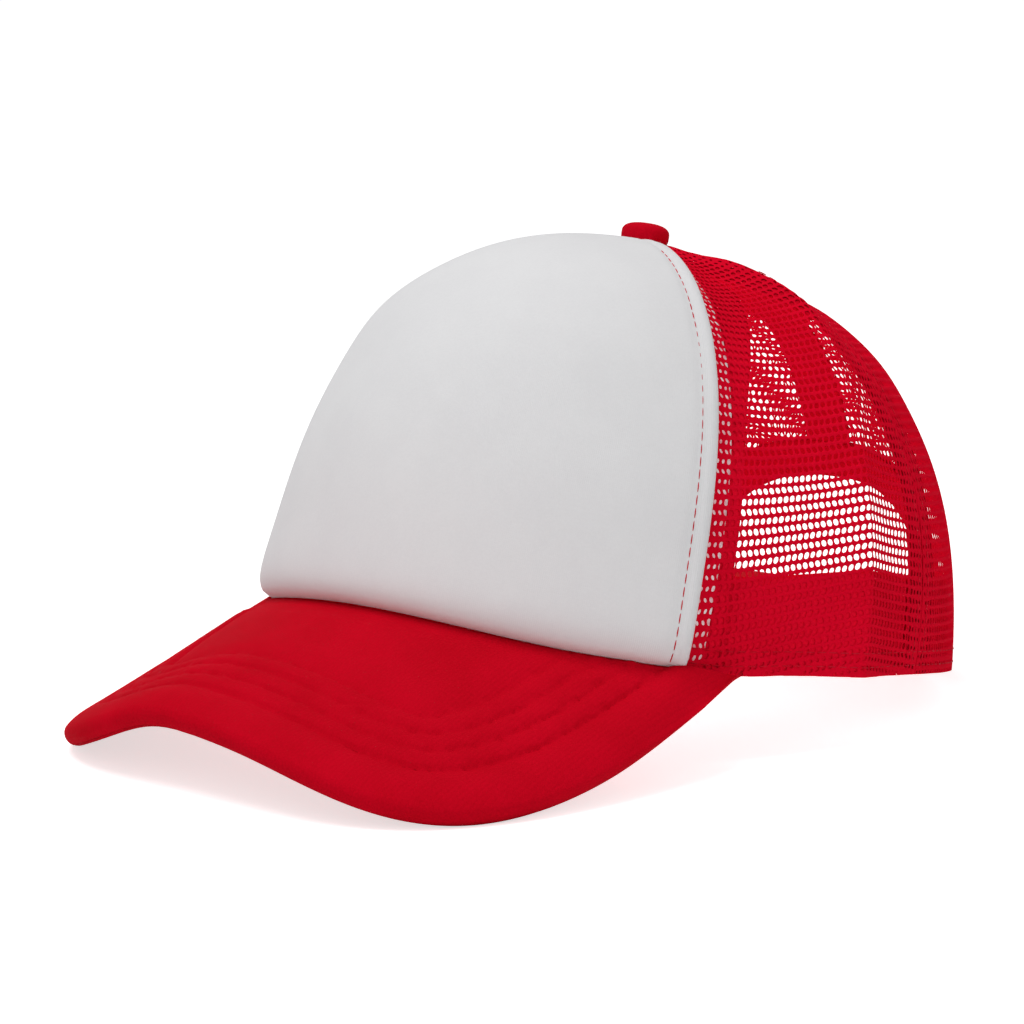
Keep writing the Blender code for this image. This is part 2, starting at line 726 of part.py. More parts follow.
def build():
    for item in list(bpy.data.objects):
        bpy.data.objects.remove(item, do_unlink=True)
    root = bpy.data.objects.new("cap_stance", None)
    bpy.context.collection.objects.link(root)

    front_panel(root)
    hem = BINDING_END_HEIGHT
    for word, side in (("left", 1.0), ("right", -1.0)):
        side_mesh("side_mesh_" + word, side, root)
        rear_mesh("rear_mesh_" + word, side, root)
        seam_tape("front_seam_tape_" + word, front_seam, side, hem, root)
        seam_tape("side_seam_tape_" + word, side_seam, side, hem, root)
    arch_top = NET_ARCH_HEIGHT + BINDING_WIDTH + LAYER_GAP
    seam_tape("rear_seam_tape", rear_seam, 1.0, arch_top, root)
    rear_arch_binding(root)
    sweatband(root)
    visor_cover("visor_top_cover", True, VISOR_TOP_THICKNESS, RED, root)
    visor_board(root)
    visor_cover("visor_under_cover", False, VISOR_UNDER_THICKNESS, DEEP_RED, root)
    button(root)
    straps(root)
    stand(root)


build()
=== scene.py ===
import bisect
import json
import math
import random

import bmesh
import bpy
from mathutils import Matrix, Vector, kdtree, noise


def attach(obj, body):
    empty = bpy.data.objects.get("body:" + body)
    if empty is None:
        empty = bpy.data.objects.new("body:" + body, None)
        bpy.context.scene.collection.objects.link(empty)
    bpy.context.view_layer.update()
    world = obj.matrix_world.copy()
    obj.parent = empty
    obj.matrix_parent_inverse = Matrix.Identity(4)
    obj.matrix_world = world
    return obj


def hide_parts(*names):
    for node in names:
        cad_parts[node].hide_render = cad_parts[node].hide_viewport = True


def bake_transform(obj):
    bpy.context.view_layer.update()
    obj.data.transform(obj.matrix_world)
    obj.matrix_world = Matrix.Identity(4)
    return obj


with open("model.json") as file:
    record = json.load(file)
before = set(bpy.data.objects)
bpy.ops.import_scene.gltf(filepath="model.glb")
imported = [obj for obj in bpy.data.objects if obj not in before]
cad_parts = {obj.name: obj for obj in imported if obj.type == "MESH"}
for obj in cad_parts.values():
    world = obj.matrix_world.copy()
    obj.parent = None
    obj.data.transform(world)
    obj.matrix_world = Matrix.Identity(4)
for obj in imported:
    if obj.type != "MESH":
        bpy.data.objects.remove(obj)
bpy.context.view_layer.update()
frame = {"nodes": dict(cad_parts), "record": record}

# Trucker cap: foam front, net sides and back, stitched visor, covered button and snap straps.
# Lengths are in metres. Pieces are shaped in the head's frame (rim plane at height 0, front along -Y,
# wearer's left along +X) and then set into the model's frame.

# Crown, over the outside of the cloth
RIM_HALF_WIDTH = 0.0890
RIM_FRONT_REACH = 0.0995
RIM_REAR_REACH = 0.1030
CROWN_HEIGHT = 0.1082
BUTTON_FORWARD = 0.0053
FRONT_CLOSING, FRONT_CLIMBING = 0.74, 0.82
SIDE_CLOSING, SIDE_CLIMBING = 0.93, 0.91
REAR_CLOSING, REAR_CLIMBING = 1.01, 0.76
BACK_SEAM_CLOSING, BACK_SEAM_CLIMBING, BACK_SEAM_FADING = 0.70, 0.82, 6.0
FRONT_SEAM_TURN, FRONT_SEAM_BOW = math.radians(55.4), math.radians(2.9)
SIDE_SEAM_TURN, SIDE_SEAM_BOW = math.radians(103.5), math.radians(4.0)

# Cloth layers
FOAM_THICKNESS = 0.0030
NET_THICKNESS = 0.00040
SIDE_NET_THICKNESS = 0.00028
NET_DRAW_LENGTH = 0.030
PINCH_LENGTH = 0.014
TAPE_THICKNESS = 0.0004
TAPE_WIDTH = 0.016
FRONT_TAPE_REACH, FRONT_TAPE_SPREAD = 0.0109, 0.0078
SIDE_TAPE_SPREAD, REAR_TAPE_SPREAD = 0.0045, 0.0066
FRONT_SPREAD_START, FRONT_SPREAD_SHARE = 0.50, 0.45
SIDE_SPREAD_START, SIDE_SPREAD_SHARE = 0.68, 0.10
REAR_SPREAD_START, REAR_SPREAD_SHARE = 0.845, 0.025
SWEATBAND_THICKNESS = 0.0016
SWEATBAND_HEIGHT = 0.0262
SWEATBAND_PEAK, SWEATBAND_PEAK_TURN = 0.0014, 0.3
SWEATBAND_HEM_SHARE = 0.4
SWEATBAND_OVERLAP = 0.0020
STEP_OVER_TAPE, STEP_LENGTH = 0.0030, 0.0025
LAYER_GAP = 0.0004
CLOSE_GAP = 0.00006
SEAM_GAP = 0.0003

# Foam front: rounded edges, a roll above the visor and the row of stitches beside the seam
FOAM_EDGE_RADIUS = 0.0015
FOAM_EDGE_OVERHANG = 0.0007
FOAM_ROLL = 0.0023
FOAM_ROLL_HEIGHT = 0.0070
FOAM_BOTTOM_GAP = 0.0009
FOAM_SHOULDER = 0.0015
FOAM_SHOULDER_PLACE, FOAM_SHOULDER_HEIGHT = 0.70, 0.13
FOAM_SHOULDER_TURN, FOAM_SHOULDER_WIDTH = math.radians(35.0), math.radians(22.0)
FOAM_FADE_LENGTH = 0.020
FOAM_LAP_LENGTH = 0.003
FOAM_TUCK = 0.0022
FOAM_TUCK_HEIGHT = 0.0020
TOPSTITCH_INSET = 0.0041
TOPSTITCH_GROOVE = 0.0006
TOPSTITCH_GROOVE_WIDTH = 0.0012
TOPSTITCH_LENGTH, TOPSTITCH_SINK = 0.0028, 0.45
ALLOWANCE_WIDTH = 0.0062
ALLOWANCE_THICKNESS = 0.00025
ALLOWANCE_SINK = 0.00013
ALLOWANCE_LOW_CLIMB, ALLOWANCE_HIGH_CLIMB = 0.01, 1.40
ALLOWANCE_MARGIN, ALLOWANCE_BLEND = 0.002, 0.0015

# Net: holes in rows, whose threads lean one way and then the other, and which shrink beside the seams
NET_PITCH = 0.00188
NET_ROW_PITCH = 0.00246
REAR_NET_COARSENESS = 1.05
NET_THREAD = 0.00040
NET_BAND = 0.00074
NET_LEAN = 0.00020
NET_STAGGER = 0.00020
NET_HOLE_CHANGE = 0.07
NET_SEAM_HOLE = 0.58
NET_SEAM_LENGTH, NET_SEAM_BLEND = 0.0045, 0.002
NET_WIDTH_FOR_TURN = 0.106
NET_MARGIN = 0.012
NET_UNDER_BINDING = 0.0012

# Fold of each side panel, from being packed flat: its turn at the rim and the top, and what it does
CREASE_LOW_TURN = math.radians(87.5)
CREASE_HIGH_TURN = math.radians(106.0)
CREASE_RIDGE, CREASE_RIDGE_SHARPNESS = 0.0026, 1.4
CREASE_RISE_LENGTH = 0.030
CREASE_FALL_LENGTH = 0.015
CREASE_FLATTENING = 0.0036
CREASE_ROW_RISE = 0.26
CREASE_ROW_FALL = 0.12
CREASE_ROW_FADING = 1.5
CREASE_FADE_LENGTH = 0.045

# How far the hem lies from the rim plane, in millimetres, at turns in degrees
HEM_SHIFTS = ((46.0, 0.0), (55.4, -1.0), (60.0, -2.2), (65.0, -3.3), (69.0, -2.7), (73.0, -1.9),
              (80.0, -0.9), (89.0, 0.2), (95.0, 0.8), (102.0, 1.5), (110.0, 2.0), (122.0, 2.4),
              (134.0, 2.4), (150.0, 1.0), (165.0, 0.0))

# The rear net stands out a little at its hem and higher up, and lies lower beside the button
REAR_FILL_TURN = math.radians(130.0)
REAR_FILL_WIDTH = math.radians(26.0)
REAR_FILL_BACK_WIDTH = math.radians(14.0)
REAR_FILL_HEM, REAR_FILL_HEM_FADING = 0.0020, 6
REAR_FILL_TOP, REAR_FILL_TOP_PLACE, REAR_FILL_TOP_WIDTH = 0.0008, 0.74, 0.10
REAR_FILL_DIP, REAR_FILL_DIP_PLACE, REAR_FILL_DIP_WIDTH = 0.0017, 0.94, 0.05
REAR_FILL_DIP_TURN = 0.9

# Rear opening and its folded binding
ARCH_HALF_WIDTH = 0.0450
ARCH_HEIGHT = 0.0520
ARCH_SQUARENESS = 2.5
BINDING_WIDTH = 0.0090
BINDING_THICKNESS = 0.0006
BINDING_END_HEIGHT = 0.0006
BINDING_MAP_LENGTH = 0.15

# Visor
VISOR_REACH = 0.0545
VISOR_WIDEST = 0.0822
VISOR_PITCH = math.radians(30.0)
VISOR_BEND_RADIUS = 0.0960
VISOR_END_TURN = math.radians(65.2)
VISOR_SQUARENESS = 3.3
VISOR_BLUNT_END = 0.9995
VISOR_TOP_THICKNESS = 0.0012
VISOR_BOARD_THICKNESS = 0.0018
VISOR_UNDER_THICKNESS = 0.0009
VISOR_FIRST_ROW = 0.0145
VISOR_ROW_SPACING = 0.0061
VISOR_STITCH_ROWS = 4
VISOR_ROLL_PUFF = 0.0020
VISOR_QUILT_PUFF = 0.0013
VISOR_ROOT_PUFF = 0.0012
VISOR_PUCKER = 0.00075
VISOR_PUCKER_WIDTH = 0.0016
VISOR_END_THINNESS = 0.04
VISOR_END_SHARE = 0.16
VISOR_CALM_LENGTH = 0.007
VISOR_TIP_LIFT, VISOR_TIP_SHARE = 0.0013, 0.025
VISOR_WAVE = 0.0022
VISOR_WAVE_PLACE, VISOR_WAVE_WIDTH = -0.018, 0.017
VISOR_WAVE_START, VISOR_WAVE_LENGTH = 0.108, 0.040
VISOR_HEM_FADING = 0.7
VISOR_COLUMN_EASE = 0.45
VISOR_ROLL_FULLNESS, VISOR_QUILT_FULLNESS, VISOR_ROOT_RISE = 0.65, 0.33, 0.7
VISOR_PUCKER_SCALE = 520.0
VISOR_ROW_STOP = 1.02

# Snap straps
STRAP_THICKNESS = 0.0012
STRAP_WIDTH = 0.0180
STRAP_BOTTOM = 0.0030
STRAP_CORNER_RADIUS = 0.0060
STRAP_STEP_LENGTH = 0.0090
STRAP_HINGE_ARC = 0.0387
STRAP_SEWN_END = 0.05645
STRAP_FREE_END = 0.0130
STRAP_STEP_END = 0.0322
STRAP_OUTER_DEPTH = 0.0023
STRAP_INNER_DEPTH = 0.0039
STRAP_EDGE_ROUNDING = 0.00025
STRAP_BEND_LENGTH = 0.0050
SNAP_PITCH = 0.0080
SNAPS_BEFORE, SNAPS_AFTER = 1, 3
SNAP_RIM = 0.0009
SNAP_RIM_LIFT = 0.0003
SNAP_RIM_SLOPE = 0.00025
PEG_RADIUS = 0.0018
PEG_NECK = 0.0006
PEG_CLEARANCE = 0.0005
STRAP_GRID = 0.0012
STRAP_LINES = (-1.0, -0.77, -0.444, -0.185, 0.0, 0.185, 0.444, 0.77, 1.0)
STRAP_SHARP_ANGLE = 0.7
STRAP_MIDDLE = STRAP_BOTTOM + 0.5 * STRAP_WIDTH
STRAP_ROUND_LENGTH, STRAP_ROUND_STEPS = 0.0060, 8
SNAP_SIDES = 24

# Top button
BUTTON_RADIUS = 0.0066
BUTTON_HEIGHT = 0.0056
BUTTON_SINK = 0.0006
BUTTON_SHIFT = 0.0008
BUTTON_BRIM = 0.0022
BUTTON_DOME_SPREAD, BUTTON_DOME_RISE = 0.75, 0.8
BUTTON_DOME_STEPS, BUTTON_TUCK_STEPS, BUTTON_SIDES = 14, 6, 72
BUTTON_TUCK, BUTTON_MOUTH = 0.0009, 0.0030
BUTTON_GATHERS, BUTTON_GATHER_DEPTH = 14.0, 0.02
BUTTON_CLOTH_THICKNESS = 0.0004
POST_RADIUS = 0.0015
WASHER_RADIUS = 0.0060
TOP_HOLE_CLEARANCE = 0.0007
TOP_HOLE_RADIUS = POST_RADIUS + TOP_HOLE_CLEARANCE

# Threads
STITCH_LENGTH = 0.0026
STITCH_PITCH = 0.0034
STITCH_WIDTH = 0.00055
FINE_STITCH_WIDTH = 0.00036
BINDING_STITCH_WIDTH = 0.00040
BINDING_STITCH_INSETS = (0.0010, BINDING_WIDTH - 0.0012)
HEM_STITCH_HEIGHTS = (0.0026, 0.0062)
SEAM_STITCH_INSET = 0.0030
SEAM_STITCH_TOP = 1.25

# Length of the boxes of the flat cuts
PANEL_LENGTH = 1.3 * CROWN_HEIGHT

# The photograph's camera: where it stands, what it aims at beside the rim's middle, and its focal length
CAMERA_AZIMUTH = math.radians(41.846)
CAMERA_ELEVATION = math.radians(9.446)
CAMERA_DISTANCE = 0.9715
CAMERA_AIM_RIGHT = -0.02583
CAMERA_AIM_UP = 0.03325
PHOTO_SIDE_PX = 1024
CAMERA_FOCAL_PX = 3513.5
SENSOR_MM = 36.0

# Small steps and working values
SLOPE_STEP = 1.0e-4
ARC_STEPS = 720
MERGE_DISTANCE = 2.0e-6
MM = 1000.0

# Frame of the head, from the mount that names the opening
OPENING = next(mount for mount in frame["record"]["mounts"] if mount["name"] == "head_opening")
HEAD_ORIGIN = Vector(OPENING["pos_m"])
HEAD_UP = -Vector(OPENING["axis"])
HEAD_FRAME = Matrix.Translation(HEAD_ORIGIN) @ Matrix.Rotation(-math.atan2(HEAD_UP.y, HEAD_UP.z), 4, "X")


def ease(share):
    """Smooth step from 0 to 1."""
    share = min(max(share, 0.0), 1.0)
    return share * share * (3.0 - 2.0 * share)


def mix(low, high, share):
    return low + (high - low) * share


def bell(distance, width):
    return math.exp(-(distance / width) ** 2)


# Shape of the crown

def rim_reach(turn):
    return RIM_FRONT_REACH if math.cos(turn) > 0.0 else RIM_REAR_REACH


def rim_plan(turn):
    return Vector((RIM_HALF_WIDTH * math.sin(turn), -rim_reach(turn) * math.cos(turn), 0.0))


def rim_stride(turn):
    """Length along the rim for each radian of turn."""
    return math.hypot(RIM_HALF_WIDTH * math.cos(turn), rim_reach(turn) * math.sin(turn))


def wall_shape(turn):
    """Closing and climbing exponents of the wall at this turn."""
    front = max(math.cos(turn), 0.0) ** 2
    rear = max(-math.cos(turn), 0.0) ** 2
    side = 1.0 - front - rear
    closing = FRONT_CLOSING * front + SIDE_CLOSING * side + REAR_CLOSING * rear
    climbing = FRONT_CLIMBING * front + SIDE_CLIMBING * side + REAR_CLIMBING * rear
    back = max(-math.cos(turn), 0.0) ** BACK_SEAM_FADING
    closing += (BACK_SEAM_CLOSING - REAR_CLOSING) * back
    climbing += (BACK_SEAM_CLIMBING - REAR_CLIMBING) * back
    return closing, climbing


def stride(turn, climb):
    """Length round the crown for each radian of turn, at this climb."""
    return rim_stride(turn) * math.cos(climb) ** wall_shape(turn)[0]


def climb_at_height(turn, height):
    return math.asin(min(max(height, 0.0) / CROWN_HEIGHT, 1.0) ** (1.0 / wall_shape(turn)[1]))


def climb_at_radius(turn, radius):
    return math.acos((radius / rim_stride(turn)) ** (1.0 / wall_shape(turn)[0]))


def visor_height(x, y):
    """Height of the visor's upper surface, which meets the rim plane at the visor's two ends."""
    end = rim_plan(VISOR_END_TURN)
    return math.tan(VISOR_PITCH) * (y - end.y) - (x * x - end.x * end.x) / (2.0 * VISOR_BEND_RADIUS)


def hem_shift(turn):
    """Height of the hem above the rim plane, beyond the visor's own bend."""
    degrees = abs(math.degrees(turn))
    for (start, low), (end, high) in zip(HEM_SHIFTS, HEM_SHIFTS[1:]):
        if start < degrees <= end:
            return mix(low, high, (degrees - start) / (end - start)) / MM
    return 0.0


def rim_height(turn):
    """The rim follows the visor at the front and its own hem elsewhere."""
    height = hem_shift(turn)
    if abs(turn) < VISOR_END_TURN:
        rim = rim_plan(turn)
        height += visor_height(rim.x, rim.y)
    return height


def crown_surface(turn, climb):
    closing, climbing = wall_shape(turn)
    size = math.cos(climb) ** closing
    rim = rim_plan(turn)
    height = CROWN_HEIGHT * math.sin(climb) ** climbing
    height += rim_height(turn) * (1.0 - math.sin(climb)) ** 2
    return Vector((rim.x * size, rim.y * size - BUTTON_FORWARD * (1.0 - size), height))


def crown_normal(turn, climb):
    across = crown_surface(turn + SLOPE_STEP, climb) - crown_surface(turn - SLOPE_STEP, climb)
    up = crown_surface(turn, climb + SLOPE_STEP) - crown_surface(turn, max(climb - SLOPE_STEP, 0.0))
    return across.cross(up).normalized()


def crown_point(turn, climb, lift):
    return crown_surface(turn, climb) + crown_normal(turn, climb) * lift


def front_seam(climb):
    return FRONT_SEAM_TURN + FRONT_SEAM_BOW * math.sin(2.0 * climb)


def side_seam(climb):
    return SIDE_SEAM_TURN + SIDE_SEAM_BOW * math.sin(2.0 * climb)


def rear_seam(climb):
    return math.pi


def crease_turn(climb):
    return mix(CREASE_LOW_TURN, CREASE_HIGH_TURN, math.sin(climb) ** 4)


def foam_depth(turn, climb):
    """Thickness of the foam panel, pinched down to the net's thickness over the button's washer."""
    share = ease((stride(turn, climb) - WASHER_RADIUS) / PINCH_LENGTH)
    return mix(NET_THICKNESS, FOAM_THICKNESS, share)


def side_fold(turn, climb):
    """Each side panel lies flatter between its front seam and its fold, which stands out as a ridge."""
    turn = abs(turn)
    start, fold = front_seam(climb), crease_turn(climb)
    length = stride(turn, climb)
    past = (turn - fold) * length
    reach = CREASE_FALL_LENGTH if past > 0.0 else CREASE_RISE_LENGTH
    ridge = CREASE_RIDGE * max(1.0 - abs(past) / reach, 0.0) ** CREASE_RIDGE_SHARPNESS
    share = min(max((turn - start) / (fold - start), 0.0), 1.0)
    flattening = CREASE_FLATTENING * 4.0 * share * (1.0 - share)
    return ease(length / CREASE_FADE_LENGTH) * (ridge - flattening)


def rear_fill(turn, climb):
    """How far the rear net stands out."""
    away = abs(turn) - REAR_FILL_TURN
    width = REAR_FILL_WIDTH if away < 0.0 else REAR_FILL_BACK_WIDTH
    height = math.sin(climb)
    amount = REAR_FILL_HEM * (1.0 - height) ** REAR_FILL_HEM_FADING
    amount += REAR_FILL_TOP * bell(height - REAR_FILL_TOP_PLACE, REAR_FILL_TOP_WIDTH)
    low = REAR_FILL_DIP * bell(height - REAR_FILL_DIP_PLACE, REAR_FILL_DIP_WIDTH)
    return amount * bell(away, width) - low * bell(away, REAR_FILL_DIP_TURN)


def net_lift(turn, climb):
    """The net is drawn in beside the foam, so that their inner faces meet flush at the seam."""
    distance = (abs(turn) - front_seam(climb)) * stride(turn, climb)
    drawn = foam_depth(turn, climb) - NET_THICKNESS
    folds = side_fold(turn, climb) + rear_fill(turn, climb)
    return folds - drawn * (1.0 - ease(distance / NET_DRAW_LENGTH))


def wall_depth(turn, climb):
    """Depth of the panels' inner face below the crown's outer surface."""
    if abs(turn) < front_seam(climb):
        return foam_depth(turn, climb)
    return NET_THICKNESS - net_lift(turn, climb)


# Places along the rear of the rim, by their arc from the centre back

def rear_arc_table():
    arcs = [0.0]
    step = 0.5 * math.pi / ARC_STEPS
    for index in range(ARC_STEPS):
        arcs.append(arcs[-1] + rim_stride(math.pi - (index + 0.5) * step) * step)
    return arcs, step


REAR_ARCS, REAR_ARC_STEP = rear_arc_table()


def turn_at_arc(arc):
    """Turn at this arc from the centre back, positive towards the wearer's left."""
    index = bisect.bisect_left(REAR_ARCS, abs(arc), 1, ARC_STEPS) - 1
    share = (abs(arc) - REAR_ARCS[index]) / (REAR_ARCS[index + 1] - REAR_ARCS[index])
    return math.pi - math.copysign((index + share) * REAR_ARC_STEP, arc)


def arc_at_turn(turn):
    place = min((math.pi - turn) / REAR_ARC_STEP, ARC_STEPS - 1.0)
    index = int(place)
    return mix(REAR_ARCS[index], REAR_ARCS[index + 1], place - index)


def rear_point(arc, height, lift):
    turn = turn_at_arc(arc)
    return crown_point(turn, climb_at_height(turn, height), lift)


FOLD_RADIUS = 0.5 * NET_THICKNESS + LAYER_GAP + 0.5 * BINDING_THICKNESS
NET_EDGE_INSET = FOLD_RADIUS + 0.5 * BINDING_THICKNESS
NET_ARCH_HALF_WIDTH = ARCH_HALF_WIDTH + NET_EDGE_INSET
NET_ARCH_HEIGHT = ARCH_HEIGHT + NET_EDGE_INSET


# Mesh tools

def face_out(mesh):
    """Turn every face of a closed body outwards."""
    bmesh.ops.recalc_face_normals(mesh, faces=mesh.faces[:])
    if mesh.calc_volume(signed=True) < 0.0:
        bmesh.ops.reverse_faces(mesh, faces=mesh.faces[:])


def lay_flat(mesh, flat):
    """Keep the flat cut, in millimetres, as the piece's own map."""
    cloth = mesh.loops.layers.uv.new("cloth")
    for face in mesh.faces:
        for loop in face.loops:
            spot = loop.vert.co
            loop[cloth].uv = (spot.x * flat[0] * MM, spot.y * flat[1] * MM)


def bent_sheet(columns, rows, place, flat, edge_cuts=0):
    """Bend a flat closed blank. Place takes the shares across, up and through it (0 inside, 1 outside),
    and swell, which is above 0 only on the rounded walls at its edges."""
    mesh = bmesh.new()
    bmesh.ops.create_grid(mesh, x_segments=columns, y_segments=rows, size=0.5)
    bmesh.ops.solidify(mesh, geom=mesh.faces[:], thickness=1.0)
    low = min(vert.co.z for vert in mesh.verts)
    if edge_cuts:
        walls = [edge for edge in mesh.edges if abs(edge.verts[0].co.z - edge.verts[1].co.z) > 0.5]
        bmesh.ops.subdivide_edges(mesh, edges=walls, cuts=edge_cuts, use_grid_fill=True)
    lay_flat(mesh, flat)
    for vert in mesh.verts:
        across, up = vert.co.x + 0.5, vert.co.y + 0.5
        through = min(max(vert.co.z - low, 0.0), 1.0)
        vert.co = place(across, up, through, math.sin(math.pi * through))
    face_out(mesh)
    return mesh


def turned(profile, sides):
    """Spin an open or closed profile of (radius, height) points round the Z axis."""
    mesh = bmesh.new()
    verts = [mesh.verts.new((radius, 0.0, height)) for radius, height in profile]
    edges = []
    for start, end in zip(verts, verts[1:]):
        edges.append(mesh.edges.new((start, end)))
    bmesh.ops.spin(mesh, geom=verts + edges, axis=(0.0, 0.0, 1.0), cent=(0.0, 0.0, 0.0),
                   steps=sides, angle=2.0 * math.pi, use_merge=True)
    bmesh.ops.remove_doubles(mesh, verts=mesh.verts[:], dist=MERGE_DISTANCE)
    return mesh


def mirrored(mesh, side):
    """Move a piece made on the wearer's left to the other side where side is -1."""
    if side < 0:
        for vert in mesh.verts:
            vert.co.x *= -1.0
        bmesh.ops.reverse_faces(mesh, faces=mesh.faces[:])
    return mesh


def finished(name, mesh, finish, replaces=(), body="cap"):
    """Turn a bmesh in the head's frame into a piece that rides on a body."""
    bmesh.ops.transform(mesh, matrix=HEAD_FRAME, verts=mesh.verts[:])
    data = bpy.data.meshes.new(name)
    mesh.to_mesh(data)
    mesh.free()
    data.materials.append(finish)
    data.shade_smooth()
    piece = bpy.data.objects.new(name, data)
    bpy.context.scene.collection.objects.link(piece)
    if body:
        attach(piece, body)
    if replaces:
        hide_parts(*replaces)
    return piece


def rounded(piece, levels=1):
    modifier = piece.modifiers.new("rounding", "SUBSURF")
    modifier.levels = levels
    modifier.render_levels = levels
    return piece


# Threads

def sewn_row(mesh, line, pitch=STITCH_PITCH, length=STITCH_LENGTH, width=STITCH_WIDTH, sink=0.4):
    """Stitches along a line of (point, outward normal): short threads whose ends dive into the cloth."""
    travelled = 0.0
    due = 0.5 * pitch
    size = Matrix.Diagonal((0.5 * width, 0.5 * width, 0.5 * length, 1.0))
    lay_down = Matrix.Rotation(-0.5 * math.pi, 4, "Y")
    for (start, out), (end, _) in zip(line, line[1:]):
        step = end - start
        while step.length > 0.0 and travelled + step.length >= due:
            along = step.normalized()
            spot = start + along * (due - travelled)
            side = out.cross(along).normalized()
            up = along.cross(side)
            turn = Matrix((along, side, up)).transposed().to_4x4()
            sunk = Matrix.Translation(spot + up * width * (0.5 - sink))
            bmesh.ops.create_uvsphere(mesh, u_segments=6, v_segments=5, radius=1.0,
                                      matrix=sunk @ turn @ lay_down @ size)
            due += pitch
        travelled += step.length


def crown_line(turn_at, lift_at, low, high, steps):
    """Line up the crown between two heights of climb, as points with outward normals."""
    line = []
    for index in range(steps + 1):
        climb = mix(low, high, index / steps)
        turn = turn_at(climb)
        line.append((crown_point(turn, climb, lift_at(turn, climb)), crown_normal(turn, climb)))
    return line


# Materials

def shader_node(tree, kind, inputs=None, **settings):
    made = tree.nodes.new(kind)
    for key, value in settings.items():
        setattr(made, key, value)
    for key, value in (inputs or {}).items():
        if isinstance(value, bpy.types.NodeSocket):
            tree.links.new(value, made.inputs[key])
        else:
            made.inputs[key].default_value = value
    return made


def maths(tree, operation, first, second=0.0):
    made = shader_node(tree, "ShaderNodeMath", {0: first, 1: second}, operation=operation)
    return made.outputs[0]


def new_group(name, inputs, outputs):
    """A node group with named sockets, given as (name, kind, start value)."""
    group = bpy.data.node_groups.new(name, "ShaderNodeTree")
    for label, kind, value in inputs:
        socket = group.interface.new_socket(label, in_out="INPUT", socket_type=kind)
        if value is not None:
            socket.default_value = value
    for label, kind in outputs:
        group.interface.new_socket(label, in_out="OUTPUT", socket_type=kind)
    return group, group.nodes.new("NodeGroupInput").outputs, group.nodes.new("NodeGroupOutput").inputs


def make_dye_group():
    """Uneven dye: broad patches and fine flecks between two shades, with roughness to suit."""
    group, given, out = new_group(
        "uneven_dye",
        [("Vector", "NodeSocketVector", None), ("Shade", "NodeSocketColor", None),
         ("Deep Shade", "NodeSocketColor", None), ("Patches", "NodeSocketFloat", 40.0),
         ("Flecks", "NodeSocketFloat", 1500.0), ("Roughness", "NodeSocketFloat", 0.75)],
        [("Colour", "NodeSocketColor"), ("Roughness", "NodeSocketFloat")])
    patches = shader_node(group, "ShaderNodeTexNoise", {
        "Vector": given["Vector"], "Scale": given["Patches"], "Detail": 3.0, "Roughness": 0.6})
    flecks = shader_node(group, "ShaderNodeTexNoise", {
        "Vector": given["Vector"], "Scale": given["Flecks"], "Detail": 2.0})
    both = maths(group, "ADD", maths(group, "MULTIPLY", patches.outputs[0], 0.6),
                 maths(group, "MULTIPLY", flecks.outputs[0], 0.4))
    share = shader_node(group, "ShaderNodeMapRange", {"Value": both, "From Min": 0.36, "From Max": 0.62})
    colour = shader_node(group, "ShaderNodeMix", {0: share.outputs[0], 6: given["Deep Shade"],
                                                  7: given["Shade"]}, data_type="RGBA")
    group.links.new(colour.outputs[2], out["Colour"])
    rough = maths(group, "ADD", given["Roughness"],
                  maths(group, "MULTIPLY", maths(group, "SUBTRACT", flecks.outputs[0], 0.5), 0.25))
    group.links.new(rough, out["Roughness"])
    return group


def make_knit_group():
    """Height of a fine knit: ribs along one way, broken into loops along the other."""
    group, given, out = new_group(
        "fine_knit",
        [("Vector", "NodeSocketVector", None), ("Rib", "NodeSocketFloat", 1.0),
         ("Loop", "NodeSocketFloat", 1.0), ("Unevenness", "NodeSocketFloat", 0.3)],
        [("Height", "NodeSocketFloat")])
    wander = shader_node(group, "ShaderNodeTexNoise", {
        "Vector": given["Vector"], "Scale": 0.35, "Detail": 2.0})
    shift = maths(group, "MULTIPLY", maths(group, "SUBTRACT", wander.outputs[0], 0.5), given["Unevenness"])
    axes = shader_node(group, "ShaderNodeSeparateXYZ", {0: given["Vector"]})

    def humps(place, length):
        turn = maths(group, "MULTIPLY", place, maths(group, "DIVIDE", math.pi, length))
        return maths(group, "ABSOLUTE", maths(group, "SINE", turn))
    ribs = humps(maths(group, "ADD", axes.outputs[0], shift), given["Rib"])
    loops = humps(maths(group, "ADD", axes.outputs[1], maths(group, "MULTIPLY", ribs, 0.5)), given["Loop"])
    height = maths(group, "MULTIPLY", ribs, maths(group, "ADD", maths(group, "MULTIPLY", loops, 0.5), 0.5))
    group.links.new(height, out["Height"])
    return group


def make_weave_group():
    """Height of a plain weave of two sets of threads."""
    group, given, out = new_group(
        "plain_weave",
        [("Vector", "NodeSocketVector", None), ("Thread", "NodeSocketFloat", 0.5)],
        [("Height", "NodeSocketFloat")])
    axes = shader_node(group, "ShaderNodeSeparateXYZ", {0: given["Vector"]})
    turn = maths(group, "DIVIDE", math.pi, given["Thread"])
    across = maths(group, "SINE", maths(group, "MULTIPLY", axes.outputs[0], turn))
    along = maths(group, "SINE", maths(group, "MULTIPLY", axes.outputs[1], turn))
    over = maths(group, "MULTIPLY", across, along)
    fuzz = shader_node(group, "ShaderNodeTexNoise", {
        "Vector": given["Vector"], "Scale": 3.0, "Detail": 2.0})
    height = maths(group, "ADD", maths(group, "MULTIPLY", over, 0.5),
                   maths(group, "MULTIPLY", fuzz.outputs[0], 0.6))
    group.links.new(height, out["Height"])
    return group


DYE = make_dye_group()
KNIT = make_knit_group()
WEAVE = make_weave_group()

